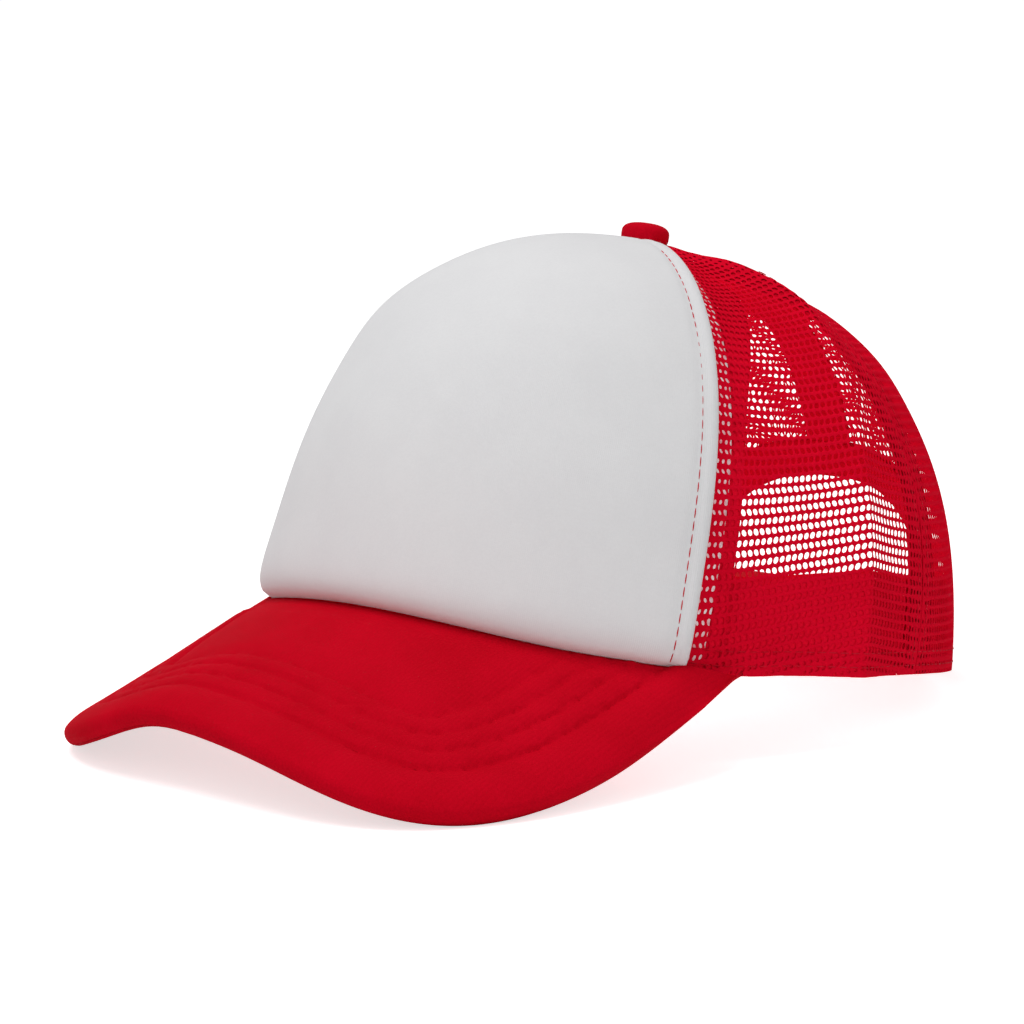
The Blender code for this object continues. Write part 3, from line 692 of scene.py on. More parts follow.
RED = (0.600, 0.0014, 0.014)
DEEP_RED = (0.515, 0.0010, 0.010)
# Painted shade: the visor's thread is darker than its cloth, to stand in for the shade in the stitch
# grooves
SHADOW_RED = (0.340, 0.0008, 0.008)
TAPE_RED = (0.690, 0.0022, 0.018)
NET_RED, NET_DEEP_RED = (0.840, 0.0028, 0.025), (0.740, 0.0020, 0.020)
# Painted light: the sweatband's reds are brighter than the cap's own red, to offset the shade it lies in
# behind the net
BAND_RED_PAINTED_LIGHT, BAND_DEEP_RED_PAINTED_LIGHT = (0.940, 0.0042, 0.030), (0.860, 0.0034, 0.026)
WHITE = (0.800, 0.797, 0.806)
SHADED_WHITE = (0.770, 0.766, 0.778)
# Painted light: the seam allowance's pinkish white is brighter than the foam's own white, to offset the
# shade behind the net
EDGE_WHITE_PAINTED_LIGHT, EDGE_PINK_PAINTED_LIGHT = (0.95, 0.84, 0.86), (0.84, 0.34, 0.38)
THREAD_RED = (0.640, 0.012, 0.032)


def dyed(name, shade, deep_shade, patches, flecks, roughness, specular):
    """Material with uneven colour and roughness. Gives the material, its shader and its coordinates."""
    made = bpy.data.materials.new(name)
    made.use_nodes = True
    tree = made.node_tree
    shader = tree.nodes["Principled BSDF"]
    coordinates = shader_node(tree, "ShaderNodeTexCoord")
    dye = shader_node(tree, "ShaderNodeGroup", node_tree=DYE)
    tree.links.new(coordinates.outputs["Object"], dye.inputs["Vector"])
    values = {"Shade": (*shade, 1.0), "Deep Shade": (*deep_shade, 1.0), "Patches": patches,
              "Flecks": flecks, "Roughness": roughness}
    for key, value in values.items():
        dye.inputs[key].default_value = value
    tree.links.new(dye.outputs["Colour"], shader.inputs["Base Color"])
    tree.links.new(dye.outputs["Roughness"], shader.inputs["Roughness"])
    shader.inputs["Specular IOR Level"].default_value = specular
    return made, shader, coordinates


def cloth(name, shade, deep_shade, height_group, height_values, on_map=True, bump=0.0001, strength=0.6,
          roughness=0.8, specular=0.02, patches=40.0, flecks=1500.0, light_through=0.0):
    """Dyed cloth with a knit or weave in its normals, and some light passing through it."""
    made, shader, coordinates = dyed(name, shade, deep_shade, patches, flecks, roughness, specular)
    tree = made.node_tree
    if on_map:
        vector = coordinates.outputs["UV"]
    else:
        scaled = shader_node(tree, "ShaderNodeVectorMath", {
            0: coordinates.outputs["Object"], 1: (MM, MM, MM)}, operation="MULTIPLY")
        vector = scaled.outputs[0]
    relief = shader_node(tree, "ShaderNodeGroup", node_tree=height_group)
    tree.links.new(vector, relief.inputs["Vector"])
    for key, value in height_values.items():
        relief.inputs[key].default_value = value
    lift = shader_node(tree, "ShaderNodeBump", {"Height": relief.outputs["Height"], "Strength": strength,
                                                "Distance": bump})
    tree.links.new(lift.outputs[0], shader.inputs["Normal"])
    if light_through:
        passed = shader_node(tree, "ShaderNodeBsdfTranslucent", {"Color": (*shade, 1.0)})
        both = shader_node(tree, "ShaderNodeMixShader", {0: light_through, 1: shader.outputs[0],
                                                         2: passed.outputs[0]})
        tree.links.new(both.outputs[0], tree.nodes["Material Output"].inputs["Surface"])
    return made


def grained(name, shade, deep_shade, roughness, specular, metallic=0.0):
    """Moulded or pressed material with a fine grain."""
    made, shader, coordinates = dyed(name, shade, deep_shade, 30.0, 900.0, roughness, specular)
    tree = made.node_tree
    shader.inputs["Metallic"].default_value = metallic
    grain = shader_node(tree, "ShaderNodeTexNoise", {
        "Vector": coordinates.outputs["Object"], "Scale": 2500.0})
    lift = shader_node(tree, "ShaderNodeBump", {"Height": grain.outputs[0], "Strength": 0.15,
                                                "Distance": 0.00005})
    tree.links.new(lift.outputs[0], shader.inputs["Normal"])
    return made


FOAM_CLOTH = cloth("foam_cloth", WHITE, SHADED_WHITE, KNIT, {"Rib": 0.55, "Loop": 0.5, "Unevenness": 0.3},
                   bump=0.00005, strength=0.5, roughness=0.85, specular=0.1)
# Painted light: the foam's cut edge is made brighter than the foam cloth, for the shade it lies in behind
# the net
ALLOWANCE_CLOTH_PAINTED_LIGHT = cloth("foam_edge_painted_light", EDGE_WHITE_PAINTED_LIGHT, EDGE_PINK_PAINTED_LIGHT, WEAVE, {"Thread": 0.6}, roughness=0.85, patches=260.0,
                  flecks=700.0)
VISOR_CLOTH = cloth("visor_cloth", RED, DEEP_RED, KNIT, {"Rib": 1.05, "Loop": 0.8, "Unevenness": 0.4},
                    on_map=False, bump=0.00010, strength=0.6)
NET_YARN = cloth("net_yarn", NET_RED, NET_DEEP_RED, KNIT, {"Rib": 0.42, "Loop": 0.7, "Unevenness": 0.5},
                 strength=0.5, roughness=0.85, specular=0.01, light_through=0.10)
TAPE_CLOTH = cloth("tape_cloth", TAPE_RED, RED, WEAVE, {"Thread": 0.5}, light_through=0.15)
# Painted light: the sweatband cloth, also used on the front tapes, is a brighter red to offset the shade
# behind the net
SWEATBAND_CLOTH_PAINTED_LIGHT = cloth("sweatband_cloth", BAND_RED_PAINTED_LIGHT, BAND_DEEP_RED_PAINTED_LIGHT, WEAVE, {"Thread": 0.45})
THREAD = cloth("sewing_thread", THREAD_RED, DEEP_RED, WEAVE, {"Thread": 0.2}, on_map=False, bump=0.00005,
               roughness=0.6)
# Painted shade: this thread is darkened to stand in for the shade in the visor's stitch grooves
VISOR_THREAD_PAINTED_SHADE = cloth("visor_thread_painted_shade", SHADOW_RED, DEEP_RED, WEAVE, {"Thread": 0.2}, on_map=False,
                     bump=0.00005, roughness=0.6)
PLASTIC = grained("moulded_plastic", RED, DEEP_RED, 0.38, 0.4)
METAL = grained("pressed_metal", (0.66, 0.66, 0.67), (0.52, 0.52, 0.54), 0.35, 0.5, metallic=1.0)
BOARD = grained("board_plastic", (0.58, 0.56, 0.52), (0.50, 0.48, 0.45), 0.6, 0.3)


# Foam front panel

FOAM_COLUMNS, FOAM_ROWS, FOAM_ROW_EASE = 110, 84, 1.25


def foam_puff(turn, climb):
    """How far the foam stands out: shoulders, a roll above the visor, a tuck at the rim, and a groove
    for the stitches."""
    height = CROWN_HEIGHT * math.sin(climb) ** wall_shape(turn)[1]
    inset = (front_seam(climb) - abs(turn)) * stride(turn, climb)
    share = height / FOAM_ROLL_HEIGHT
    puff = FOAM_ROLL * share * math.exp(1.0 - share) - FOAM_TUCK * math.exp(-height / FOAM_TUCK_HEIGHT)
    shoulder = bell(math.sin(climb) - FOAM_SHOULDER_PLACE, FOAM_SHOULDER_HEIGHT)
    shoulder *= bell(abs(turn) - FOAM_SHOULDER_TURN, FOAM_SHOULDER_WIDTH)
    puff += FOAM_SHOULDER * shoulder * ease(inset / FOAM_FADE_LENGTH)
    puff -= TOPSTITCH_GROOVE * bell(inset - TOPSTITCH_INSET, TOPSTITCH_GROOVE_WIDTH)
    return puff


def front_panel():
    top = climb_at_radius(0.0, TOP_HOLE_RADIUS)

    def place(across, up, through, swell):
        inset = FOAM_EDGE_RADIUS * (1.0 - swell)
        turn = mix(-FRONT_SEAM_TURN, FRONT_SEAM_TURN, across)
        low = climb_at_height(turn, FOAM_BOTTOM_GAP + inset)
        climb = mix(low, top, up ** FOAM_ROW_EASE)
        seam = front_seam(climb)
        length = stride(seam, climb)
        overhang = FOAM_EDGE_OVERHANG * ease(length / FOAM_FADE_LENGTH)
        edge = seam + max((overhang - inset) / length, -0.5 * seam)
        turn = mix(-edge, edge, across)
        beside = (edge - abs(turn)) * length
        clear = (NET_THICKNESS + LAYER_GAP) * ease(1.0 - beside / FOAM_LAP_LENGTH)
        lift = mix(clear - foam_depth(turn, climb), foam_puff(turn, climb), through)
        return crown_point(turn, climb, lift)
    width = 2.0 * FRONT_SEAM_TURN * RIM_FRONT_REACH
    mesh = bent_sheet(FOAM_COLUMNS, FOAM_ROWS, place, (width, PANEL_LENGTH), edge_cuts=5)
    piece = finished("foam_front", mesh, FOAM_CLOTH, ["front_panel"])
    return piece


def front_topstitching():
    """Red thread beside each side edge of the foam front."""
    mesh = bmesh.new()
    for side in (-1.0, 1.0):
        def turn_at(climb):
            seam = front_seam(climb)
            return side * (seam - TOPSTITCH_INSET / stride(seam, climb))
        sewn_row(mesh, crown_line(turn_at, foam_puff, low=0.01, high=1.30, steps=220),
                 length=TOPSTITCH_LENGTH, width=FINE_STITCH_WIDTH, sink=TOPSTITCH_SINK)
    return finished("front_topstitching", mesh, THREAD)


def seam_allowance(name, side):
    """Cut edge of the foam cloth behind the net, beside the front seam."""
    def place(across, up, through, swell):
        climb = mix(ALLOWANCE_LOW_CLIMB, ALLOWANCE_HIGH_CLIMB, up)
        seam = front_seam(climb)
        turn = seam + ALLOWANCE_WIDTH * across / stride(seam, climb)
        lift = net_lift(turn, climb) - ALLOWANCE_SINK
        return crown_point(turn, climb, lift - ALLOWANCE_THICKNESS * (1.0 - through))
    mesh = mirrored(bent_sheet(4, 60, place, (ALLOWANCE_WIDTH, CROWN_HEIGHT)), side)
    # The allowance's cloth carries painted light: it is brighter than the foam's white
    return finished(name, mesh, ALLOWANCE_CLOTH_PAINTED_LIGHT)


# Net panels

def wall_lengths(turn):
    """Lengths up the wall at this turn, at even steps of climb."""
    lengths = [0.0]
    before = crown_surface(turn, 0.0)
    for index in range(1, ARC_STEPS + 1):
        after = crown_surface(turn, 0.5 * math.pi * index / ARC_STEPS)
        lengths.append(lengths[-1] + (after - before).length)
        before = after
    return lengths


def net_panel(name, node, side, first_seam, last_seam, yarn, arched=False):
    """Net laid flat, row by row, over the wall between two seams, and cut along them."""
    middle = 0.5 * (first_seam(0.0) + last_seam(0.0))
    lengths = wall_lengths(middle)
    half_width = 0.5 * (last_seam(0.0) - first_seam(0.0)) * NET_WIDTH_FOR_TURN
    coarseness = REAR_NET_COARSENESS if arched else 1.0
    pitch, row_pitch = NET_PITCH * coarseness, NET_ROW_PITCH * coarseness
    columns = 2 * math.ceil(half_width / pitch) + 2
    rows = math.ceil((lengths[-1] + 2.0 * NET_MARGIN) / row_pitch)
    fold_arc = (crease_turn(0.0) - middle) * rim_stride(middle)
    chance = random.Random(7)
    holes = {}

    def on_wall(u, v):
        """Turn and climb of a flat place, and the edges that it lies beyond."""
        fade = max(1.0 - v / lengths[-1], 0.0) ** CREASE_ROW_FADING
        slope = CREASE_ROW_RISE if u < fold_arc else -CREASE_ROW_FALL
        length = v if arched else v + fade * slope * (u - fold_arc)
        beyond = set()
        if length < 0.0:
            beyond.add("low")
        length = min(max(length, 0.0), lengths[-1])
        index = bisect.bisect_left(lengths, length, 1, ARC_STEPS) - 1
        share = (length - lengths[index]) / (lengths[index + 1] - lengths[index])
        climb = 0.5 * math.pi * (index + share) / ARC_STEPS
        top = climb_at_radius(middle, TOP_HOLE_RADIUS)
        if climb > top:
            beyond.add("top")
            climb = top
        guess = middle + u / stride(middle, climb)
        turn = middle + u / stride(0.5 * (middle + min(max(guess, 0.5), 3.6)), climb)
        first = first_seam(climb) + 0.5 * SEAM_GAP / stride(first_seam(climb), climb)
        last = last_seam(climb) - 0.5 * SEAM_GAP / stride(last_seam(climb), climb)
        if turn < first:
            beyond.add("first")
            turn = first
        if turn > last:
            beyond.add("last")
            turn = last
        return turn, climb, beyond

    def hole(column, row):
        """Flat middle of a hole and its size, which is less beside the seams."""
        if (column, row) not in holes:
            u = (column - 0.5 * columns) * pitch + NET_STAGGER * (1 if row % 2 else -1)
            v = row * row_pitch - NET_MARGIN
            turn, climb, _ = on_wall(u, v)
            length = stride(turn, climb)
            gap = min(turn - first_seam(climb), last_seam(climb) - turn) * length
            gap = min(gap, crown_surface(turn, climb).z - rim_height(turn))
            size = mix(NET_SEAM_HOLE, 1.0, ease((gap - NET_SEAM_LENGTH) / NET_SEAM_BLEND))
            holes[column, row] = (u, v, size * (1.0 + NET_HOLE_CHANGE * chance.uniform(-1.0, 1.0)))
        return holes[column, row]

    def corner(column_line, row_line):
        """Flat place of a corner of a hole, from the lines that cross there."""
        column, row = (column_line - 1) // 2, (row_line - 1) // 2
        along, up = 1 - 2 * (column_line % 2), 1 - 2 * (row_line % 2)
        u, v, size = hole(column, row)
        u += 0.5 * along * (pitch - NET_THREAD) * size + NET_LEAN * up * (1 if row % 2 else -1)
        return u, v + 0.5 * up * (row_pitch - NET_BAND) * size

    mesh = bmesh.new()
    bmesh.ops.create_grid(mesh, x_segments=2 * columns - 1, y_segments=2 * rows - 1, size=0.5)
    cloth_map = mesh.loops.layers.uv.new("cloth")
    spots = {}
    for vert in mesh.verts:
        column_line = round((vert.co.x + 0.5) * (2 * columns - 1))
        row_line = round((vert.co.y + 0.5) * (2 * rows - 1))
        u, v = corner(column_line, row_line)
        spots[vert] = (column_line, row_line, u, v, *on_wall(u, v))
    unwanted = []
    for face in mesh.faces:
        corners = [spots[vert] for vert in face.verts]
        is_hole = all(min(spot[line] for spot in corners) % 2 == 1 for line in (0, 1))
        cut_away = set.intersection(*(spot[6] for spot in corners))
        touched = set.union(*(spot[6] for spot in corners))
        inside_arch = False
        if arched:
            arc = max(arc_at_turn(spot[4]) for spot in corners)
            height = max(crown_surface(spot[4], spot[5]).z for spot in corners)
            across = arc / (NET_ARCH_HALF_WIDTH + NET_UNDER_BINDING)
            up = max(height / (NET_ARCH_HEIGHT + NET_UNDER_BINDING), 0.0)
            inside_arch = across ** ARCH_SQUARENESS + up ** ARCH_SQUARENESS < 1.0
        if cut_away or inside_arch or (is_hole and not touched):
            unwanted.append(face)
        for loop in face.loops:
            loop[cloth_map].uv = (spots[loop.vert][2] * MM, spots[loop.vert][3] * MM)
    for vert, spot in spots.items():
        vert.co = crown_point(spot[4], spot[5], net_lift(spot[4], spot[5]))
    bmesh.ops.delete(mesh, geom=unwanted, context="FACES")
    bmesh.ops.remove_doubles(mesh, verts=mesh.verts[:], dist=MERGE_DISTANCE)
    bmesh.ops.recalc_face_normals(mesh, faces=mesh.faces[:])
    if sum(face.normal.xy.dot(face.calc_center_median().xy) for face in mesh.faces) < 0.0:
        bmesh.ops.reverse_faces(mesh, faces=mesh.faces[:])
    piece = finished(name, mirrored(mesh, side), NET_YARN, [node])
    wall = piece.modifiers.new("yarn_thickness", "SOLIDIFY")
    wall.thickness = yarn
    wall.offset = -1.0
    rounded(piece)
    return piece


# Tapes, sweatband and binding

def tape_spread(seam, height):
    """How much the folded net edges widen a tape toward the button, before and after its seam, at a
    share of the crown's height."""
    if seam is front_seam:
        return 0.0, FRONT_TAPE_SPREAD * ease((height - FRONT_SPREAD_START) / FRONT_SPREAD_SHARE)
    if seam is side_seam:
        return SIDE_TAPE_SPREAD * ease((height - SIDE_SPREAD_START) / SIDE_SPREAD_SHARE), 0.0
    both = REAR_TAPE_SPREAD * ease((height - REAR_SPREAD_START) / REAR_SPREAD_SHARE)
    return both, both


def seam_tape(name, node, seam, side, low_height=0.0, reach=0.5 * TAPE_WIDTH):
    """Tape inside a seam. Near the button it narrows to its own share of the turn."""
    turns = (-FRONT_SEAM_TURN, FRONT_SEAM_TURN, SIDE_SEAM_TURN, math.pi)
    sector = 0.5 * min(after - before for before, after in zip(turns, turns[1:]))

    def place(across, up, through, swell):
        low = climb_at_height(seam(0.0), low_height)
        climb = mix(low, climb_at_radius(seam(0.0), TOP_HOLE_RADIUS), up)
        length = stride(seam(climb), climb)
        most = sector - 0.5 * SEAM_GAP / length
        narrow, wide = tape_spread(seam, math.sin(climb))
        before = min((0.5 * TAPE_WIDTH + narrow) / length, most)
        after = min((reach + wide) / length, most)
        turn = seam(climb) + mix(-before, after, across)
        beside = (turn - front_seam(climb)) * stride(turn, climb)
        over_edge = ease((ALLOWANCE_WIDTH + ALLOWANCE_MARGIN - beside) / ALLOWANCE_BLEND)
        depth = wall_depth(turn, climb) + CLOSE_GAP + ALLOWANCE_THICKNESS * over_edge
        return crown_point(turn, climb, -depth - TAPE_THICKNESS * (1.0 - through))
    mesh = mirrored(bent_sheet(16, 90, place, (TAPE_WIDTH, PANEL_LENGTH)), side)
    # The front tapes take the sweatband's cloth, with its painted light
    finish = SWEATBAND_CLOTH_PAINTED_LIGHT if seam is front_seam else TAPE_CLOTH
    piece = finished(name, mesh, finish, [node])
    return piece


SWEATBAND_END = turn_at_arc(STRAP_SEWN_END - SWEATBAND_OVERLAP)


def sweatband_depth(turn, climb):
    """The band lies close behind the net, and steps in over the tapes of the seams."""
    length = stride(turn, climb)
    beside = min(abs(abs(turn) - front_seam(climb)), abs(abs(turn) - side_seam(climb))) * length
    over_tape = ease((FRONT_TAPE_REACH + STEP_OVER_TAPE - beside) / STEP_LENGTH)
    step = TAPE_THICKNESS + ALLOWANCE_THICKNESS + CLOSE_GAP
    return wall_depth(turn, climb) + CLOSE_GAP + step * over_tape


def sweatband():
    def place(across, up, through, swell):
        turn = mix(-SWEATBAND_END, SWEATBAND_END, across)
        round_off = 0.5 * SWEATBAND_THICKNESS * (1.0 - swell)
        away = abs(abs(turn) - CREASE_LOW_TURN)
        peak = SWEATBAND_PEAK * max(1.0 - away / SWEATBAND_PEAK_TURN, 0.0)
        top = SWEATBAND_HEIGHT + peak + SWEATBAND_HEM_SHARE * min(hem_shift(turn), 0.0) - round_off
        climb = climb_at_height(turn, mix(round_off, top, up))
        depth = sweatband_depth(turn, climb) + SWEATBAND_THICKNESS * (1.0 - through)
        return crown_point(turn, climb, -depth)
    length = 2.0 * SWEATBAND_END * 0.5 * (RIM_HALF_WIDTH + RIM_REAR_REACH)
    mesh = bent_sheet(220, 14, place, (length, SWEATBAND_HEIGHT), edge_cuts=3)
    piece = finished("sweatband_cloth", mesh, SWEATBAND_CLOTH_PAINTED_LIGHT, ["sweatband"])
    return piece


def arch_point(swing, inset, lift):
    """Place beside the arched edge of the rear net, and the outward normal there."""
    bend = 2.0 / ARCH_SQUARENESS
    arc = (NET_ARCH_HALF_WIDTH + inset) * math.copysign(abs(math.sin(swing)) ** bend, swing)
    turn = turn_at_arc(arc)
    climb = climb_at_height(turn, (NET_ARCH_HEIGHT + inset) * math.cos(swing) ** bend)
    return crown_point(turn, climb, lift + rear_fill(turn, climb)), crown_normal(turn, climb)


def rear_arch_binding():
    """Tape folded over the arched edge of the rear net."""
    reach = math.acos(BINDING_END_HEIGHT / NET_ARCH_HEIGHT)
    leg_rows, fold_rows = 6, 8
    rows = 2 * leg_rows + fold_rows

    def place(across, up, through, swell):
        row = up * rows
        radius = FOLD_RADIUS + BINDING_THICKNESS * (through - 0.5)
        fold = math.pi * min(max((row - leg_rows) / fold_rows, 0.0), 1.0)
        past = max(leg_rows - row, row - rows + leg_rows, 0.0)
        inset = BINDING_WIDTH * past / leg_rows - radius * math.sin(fold)
        lift = radius * math.cos(fold) - 0.5 * NET_THICKNESS
        return arch_point(mix(-reach, reach, across), inset, lift)[0]
    mesh = bent_sheet(120, rows, place, (BINDING_MAP_LENGTH, 2.0 * BINDING_WIDTH))
    piece = finished("arch_binding", mesh, TAPE_CLOTH, ["rear_arch_binding"])
    return piece


def net_stitching():
    """Rows of thread on the net: round the hem, beside the seams and along the binding."""
    mesh = bmesh.new()
    for side in (-1.0, 1.0):
        for height in HEM_STITCH_HEIGHTS:
            line = []
            for step in range(181):
                turn = side * mix(front_seam(0.0) + 0.02, SWEATBAND_END, step / 180.0)
                climb = climb_at_height(turn, height)
                line.append((crown_point(turn, climb, net_lift(turn, climb)), crown_normal(turn, climb)))
            sewn_row(mesh, line, width=FINE_STITCH_WIDTH)
        for inset in (-SEAM_STITCH_INSET, SEAM_STITCH_INSET):
            def beside_seam(climb):
                return side * (side_seam(climb) + inset / stride(side_seam(climb), climb))
            line = crown_line(beside_seam, net_lift, low=0.02, high=SEAM_STITCH_TOP, steps=160)
            sewn_row(mesh, line, width=FINE_STITCH_WIDTH)

        def beside_back(climb):
            return math.pi + side * SEAM_STITCH_INSET / stride(math.pi, climb)
        low = climb_at_height(math.pi, ARCH_HEIGHT + BINDING_WIDTH + 0.002)
        line = crown_line(beside_back, net_lift, low, SEAM_STITCH_TOP, steps=120)
        sewn_row(mesh, line, width=FINE_STITCH_WIDTH)
    reach = math.acos(BINDING_END_HEIGHT / NET_ARCH_HEIGHT)
    lift = FOLD_RADIUS + 0.5 * BINDING_THICKNESS - 0.5 * NET_THICKNESS
    for inset in BINDING_STITCH_INSETS:
        line = [arch_point(mix(-reach, reach, step / 300.0), inset, lift) for step in range(301)]
        sewn_row(mesh, line, width=BINDING_STITCH_WIDTH)
    return finished("net_stitching", mesh, THREAD)


# Visor

VISOR_THICKNESS = VISOR_TOP_THICKNESS + VISOR_BOARD_THICKNESS + VISOR_UNDER_THICKNESS + 2.0 * LAYER_GAP
VISOR_EDGE_RADIUS = 0.5 * VISOR_THICKNESS
VISOR_EDGE_ROWS = 14
VISOR_ROOT_OVERLAP = 0.0020


def visor_outline(share):
    """Plan of the visor's free edge; share runs from -1 at one end to 1 at the other."""
    end = rim_plan(VISOR_END_TURN)
    angle = 0.5 * math.pi * share
    sideways = abs(math.sin(angle)) ** (2.0 / VISOR_SQUARENESS)
    forward = abs(math.cos(angle)) ** (2.0 / VISOR_SQUARENESS)
    flare = 2.0 * (VISOR_WIDEST - end.x) * math.sqrt(forward * (1.0 - forward * forward))
    x = math.copysign(sideways * (end.x + flare), share)
    return Vector((x, mix(end.y, -RIM_FRONT_REACH - VISOR_REACH, forward), 0.0))


def visor_slope(plan):
    return Vector((plan.x / VISOR_BEND_RADIUS, -math.tan(VISOR_PITCH), 1.0)).normalized()


def visor_point(plan, depth):
    """Point at this depth under the visor's upper surface, which seats just below the rim."""
    top = Vector((plan.x, plan.y, visor_height(plan.x, plan.y) - LAYER_GAP))
    ahead = ease((-plan.y - VISOR_WAVE_START) / VISOR_WAVE_LENGTH)
    top.z += VISOR_WAVE * bell(plan.x - VISOR_WAVE_PLACE, VISOR_WAVE_WIDTH) * ahead
    return top - visor_slope(plan) * depth


def visor_spread(share, reach, thin):
    """Plan point between root and free edge, the direction there, and how far the rim lifts it."""
    turn = share * VISOR_END_TURN
    root = rim_plan(turn)
    free = visor_outline(share)
    line = free - root
    drop = visor_height(root.x, root.y) - visor_height(free.x, free.y)
    length = math.hypot(line.length, drop)
    start = -VISOR_ROOT_OVERLAP / length if length > 4.0 * VISOR_ROOT_OVERLAP else 0.0
    plan = root + line * mix(start, 1.0 - min(VISOR_EDGE_RADIUS * thin / length, 0.9), reach)
    tip = VISOR_TIP_LIFT * ease((abs(share) - 1.0 + VISOR_TIP_SHARE) / VISOR_TIP_SHARE)
    return plan, line / length, hem_shift(turn) * (1.0 - VISOR_HEM_FADING * reach) + tip


def edge_finder():
    steps = 600
    tree = kdtree.KDTree(steps + 1)
    for index in range(steps + 1):
        tree.insert(visor_point(visor_outline(2.0 * index / steps - 1.0), 0.0), index)
    tree.balance()
    return tree


VISOR_EDGE = edge_finder()


def visor_quilt(plan):
    """How far the cloth stands up: a roll along the free edge, and puffs between the rows of stitches."""
    spot = visor_point(plan, 0.0)
    away = VISOR_EDGE.find(spot)[2]
    rows = (away - VISOR_FIRST_ROW) / VISOR_ROW_SPACING
    last = VISOR_STITCH_ROWS - 1
    beside = (rows - min(max(round(rows), 0), last)) * VISOR_ROW_SPACING
    pucker = VISOR_PUCKER * noise.noise(spot * VISOR_PUCKER_SCALE) * bell(beside, VISOR_PUCKER_WIDTH)
    if away < VISOR_FIRST_ROW:
        roll = math.sin(math.pi * away / VISOR_FIRST_ROW) ** VISOR_ROLL_FULLNESS
        return VISOR_ROLL_PUFF * roll + pucker
    if rows < last:
        puff = VISOR_QUILT_PUFF * abs(math.sin(math.pi * rows)) ** VISOR_QUILT_FULLNESS
    else:
        puff = VISOR_ROOT_PUFF * math.sin(0.5 * math.pi * min((rows - last) * VISOR_ROOT_RISE, 1.0))
    root = math.hypot(spot.x / RIM_HALF_WIDTH, spot.y / RIM_FRONT_REACH) - 1.0
    beyond = max(root * RIM_FRONT_REACH, 0.0)
    puff *= ease(beyond / VISOR_CALM_LENGTH)
    return puff + pucker


def visor_layer(name, node, finish, top, bottom, end, columns, rows, edge_angle, quilting):
    """One layer of the visor between two depths. A cover's free edge turns round the board's edge."""
    is_cover = edge_angle is not None
    edge_rows = VISOR_EDGE_ROWS if is_cover else 0
    above = top < 0.5 * VISOR_THICKNESS
    sign = 1.0 if above else -1.0

    def place(across, up, through, swell):
        even = 2.0 * across - 1.0
        share = end * mix(even, math.sin(0.5 * math.pi * even), VISOR_COLUMN_EASE)
        thin = mix(VISOR_END_THINNESS, 1.0, ease((1.0 - abs(share)) / VISOR_END_SHARE))
        row = up * (rows + edge_rows)
        plan, line, shift = visor_spread(share, min(row / rows, 1.0), thin)
        depth = mix(bottom, top, through)
        middle = VISOR_EDGE_RADIUS
        radius = abs(middle - depth)
        past = max(row - rows, 0.0) / edge_rows if is_cover else 0.0
        angle = mix(0.5 * math.pi, edge_angle, past) if is_cover else 0.5 * math.pi
        outside = through if above else 1.0 - through
        puff = quilting * visor_quilt(plan) * (1.0 - past) * outside
        spot = plan + line * radius * thin * math.cos(angle)
        placed = visor_point(spot, (middle - sign * (radius * math.sin(angle) + puff)) * thin)
        return placed + Vector((0.0, 0.0, shift))
    mesh = bent_sheet(columns, rows + edge_rows, place, (2.0 * VISOR_WIDEST, VISOR_REACH))
    piece = finished(name, mesh, finish, [node])
    return piece


def visor_row(away, depth, up):
    """Line on the visor at this distance from its free edge, as far as the rim."""
    line = []
    steps = 500
    for index in range(1, steps):
        share = 2.0 * index / steps - 1.0
        plan = visor_outline(share)
        along = (visor_outline(share + 0.001) - visor_outline(share - 0.001)).normalized()
        inward = Vector((-along.y, along.x, 0.0))
        slope = visor_slope(plan)
        rise = -(slope.x * inward.x + slope.y * inward.y) / slope.z
        spot = plan + inward * away / math.hypot(1.0, rise)
        from_middle = (spot.x / RIM_HALF_WIDTH) ** 2 + (spot.y / RIM_FRONT_REACH) ** 2
        if from_middle >= VISOR_ROW_STOP and spot.y < rim_plan(VISOR_END_TURN).y:
            line.append((visor_point(spot, depth), slope * up))
    return line


# The visor's stitches carry painted shade: their thread is darker than the cloth, for the shade in the
# grooves
def visor_stitching(name, above):
    mesh = bmesh.new()
    depth, up = (0.0, 1.0) if above else (VISOR_THICKNESS, -1.0)
    for row in range(VISOR_STITCH_ROWS):
        line = visor_row(VISOR_FIRST_ROW + row * VISOR_ROW_SPACING, depth, up)
        sewn_row(mesh, line, pitch=0.0031, length=0.0027, width=0.00045, sink=0.5)
    return finished(name, mesh, VISOR_THREAD_PAINTED_SHADE)


# Snap straps

def strap_height(height, to_end):
    """Height on a strap, drawn in round the corners of its free end."""
    short = max(STRAP_CORNER_RADIUS - to_end, 0.0)
    cut = STRAP_CORNER_RADIUS - math.sqrt(STRAP_CORNER_RADIUS ** 2 - min(short, STRAP_CORNER_RADIUS) ** 2)
    drawn = cut * ease((abs(height) / (0.5 * STRAP_WIDTH) - 0.4) / 0.6)
    return STRAP_MIDDLE + math.copysign(abs(height) - drawn, height)


def snap_arcs():
    return [index * SNAP_PITCH for index in range(-SNAPS_BEFORE, SNAPS_AFTER + 1)]


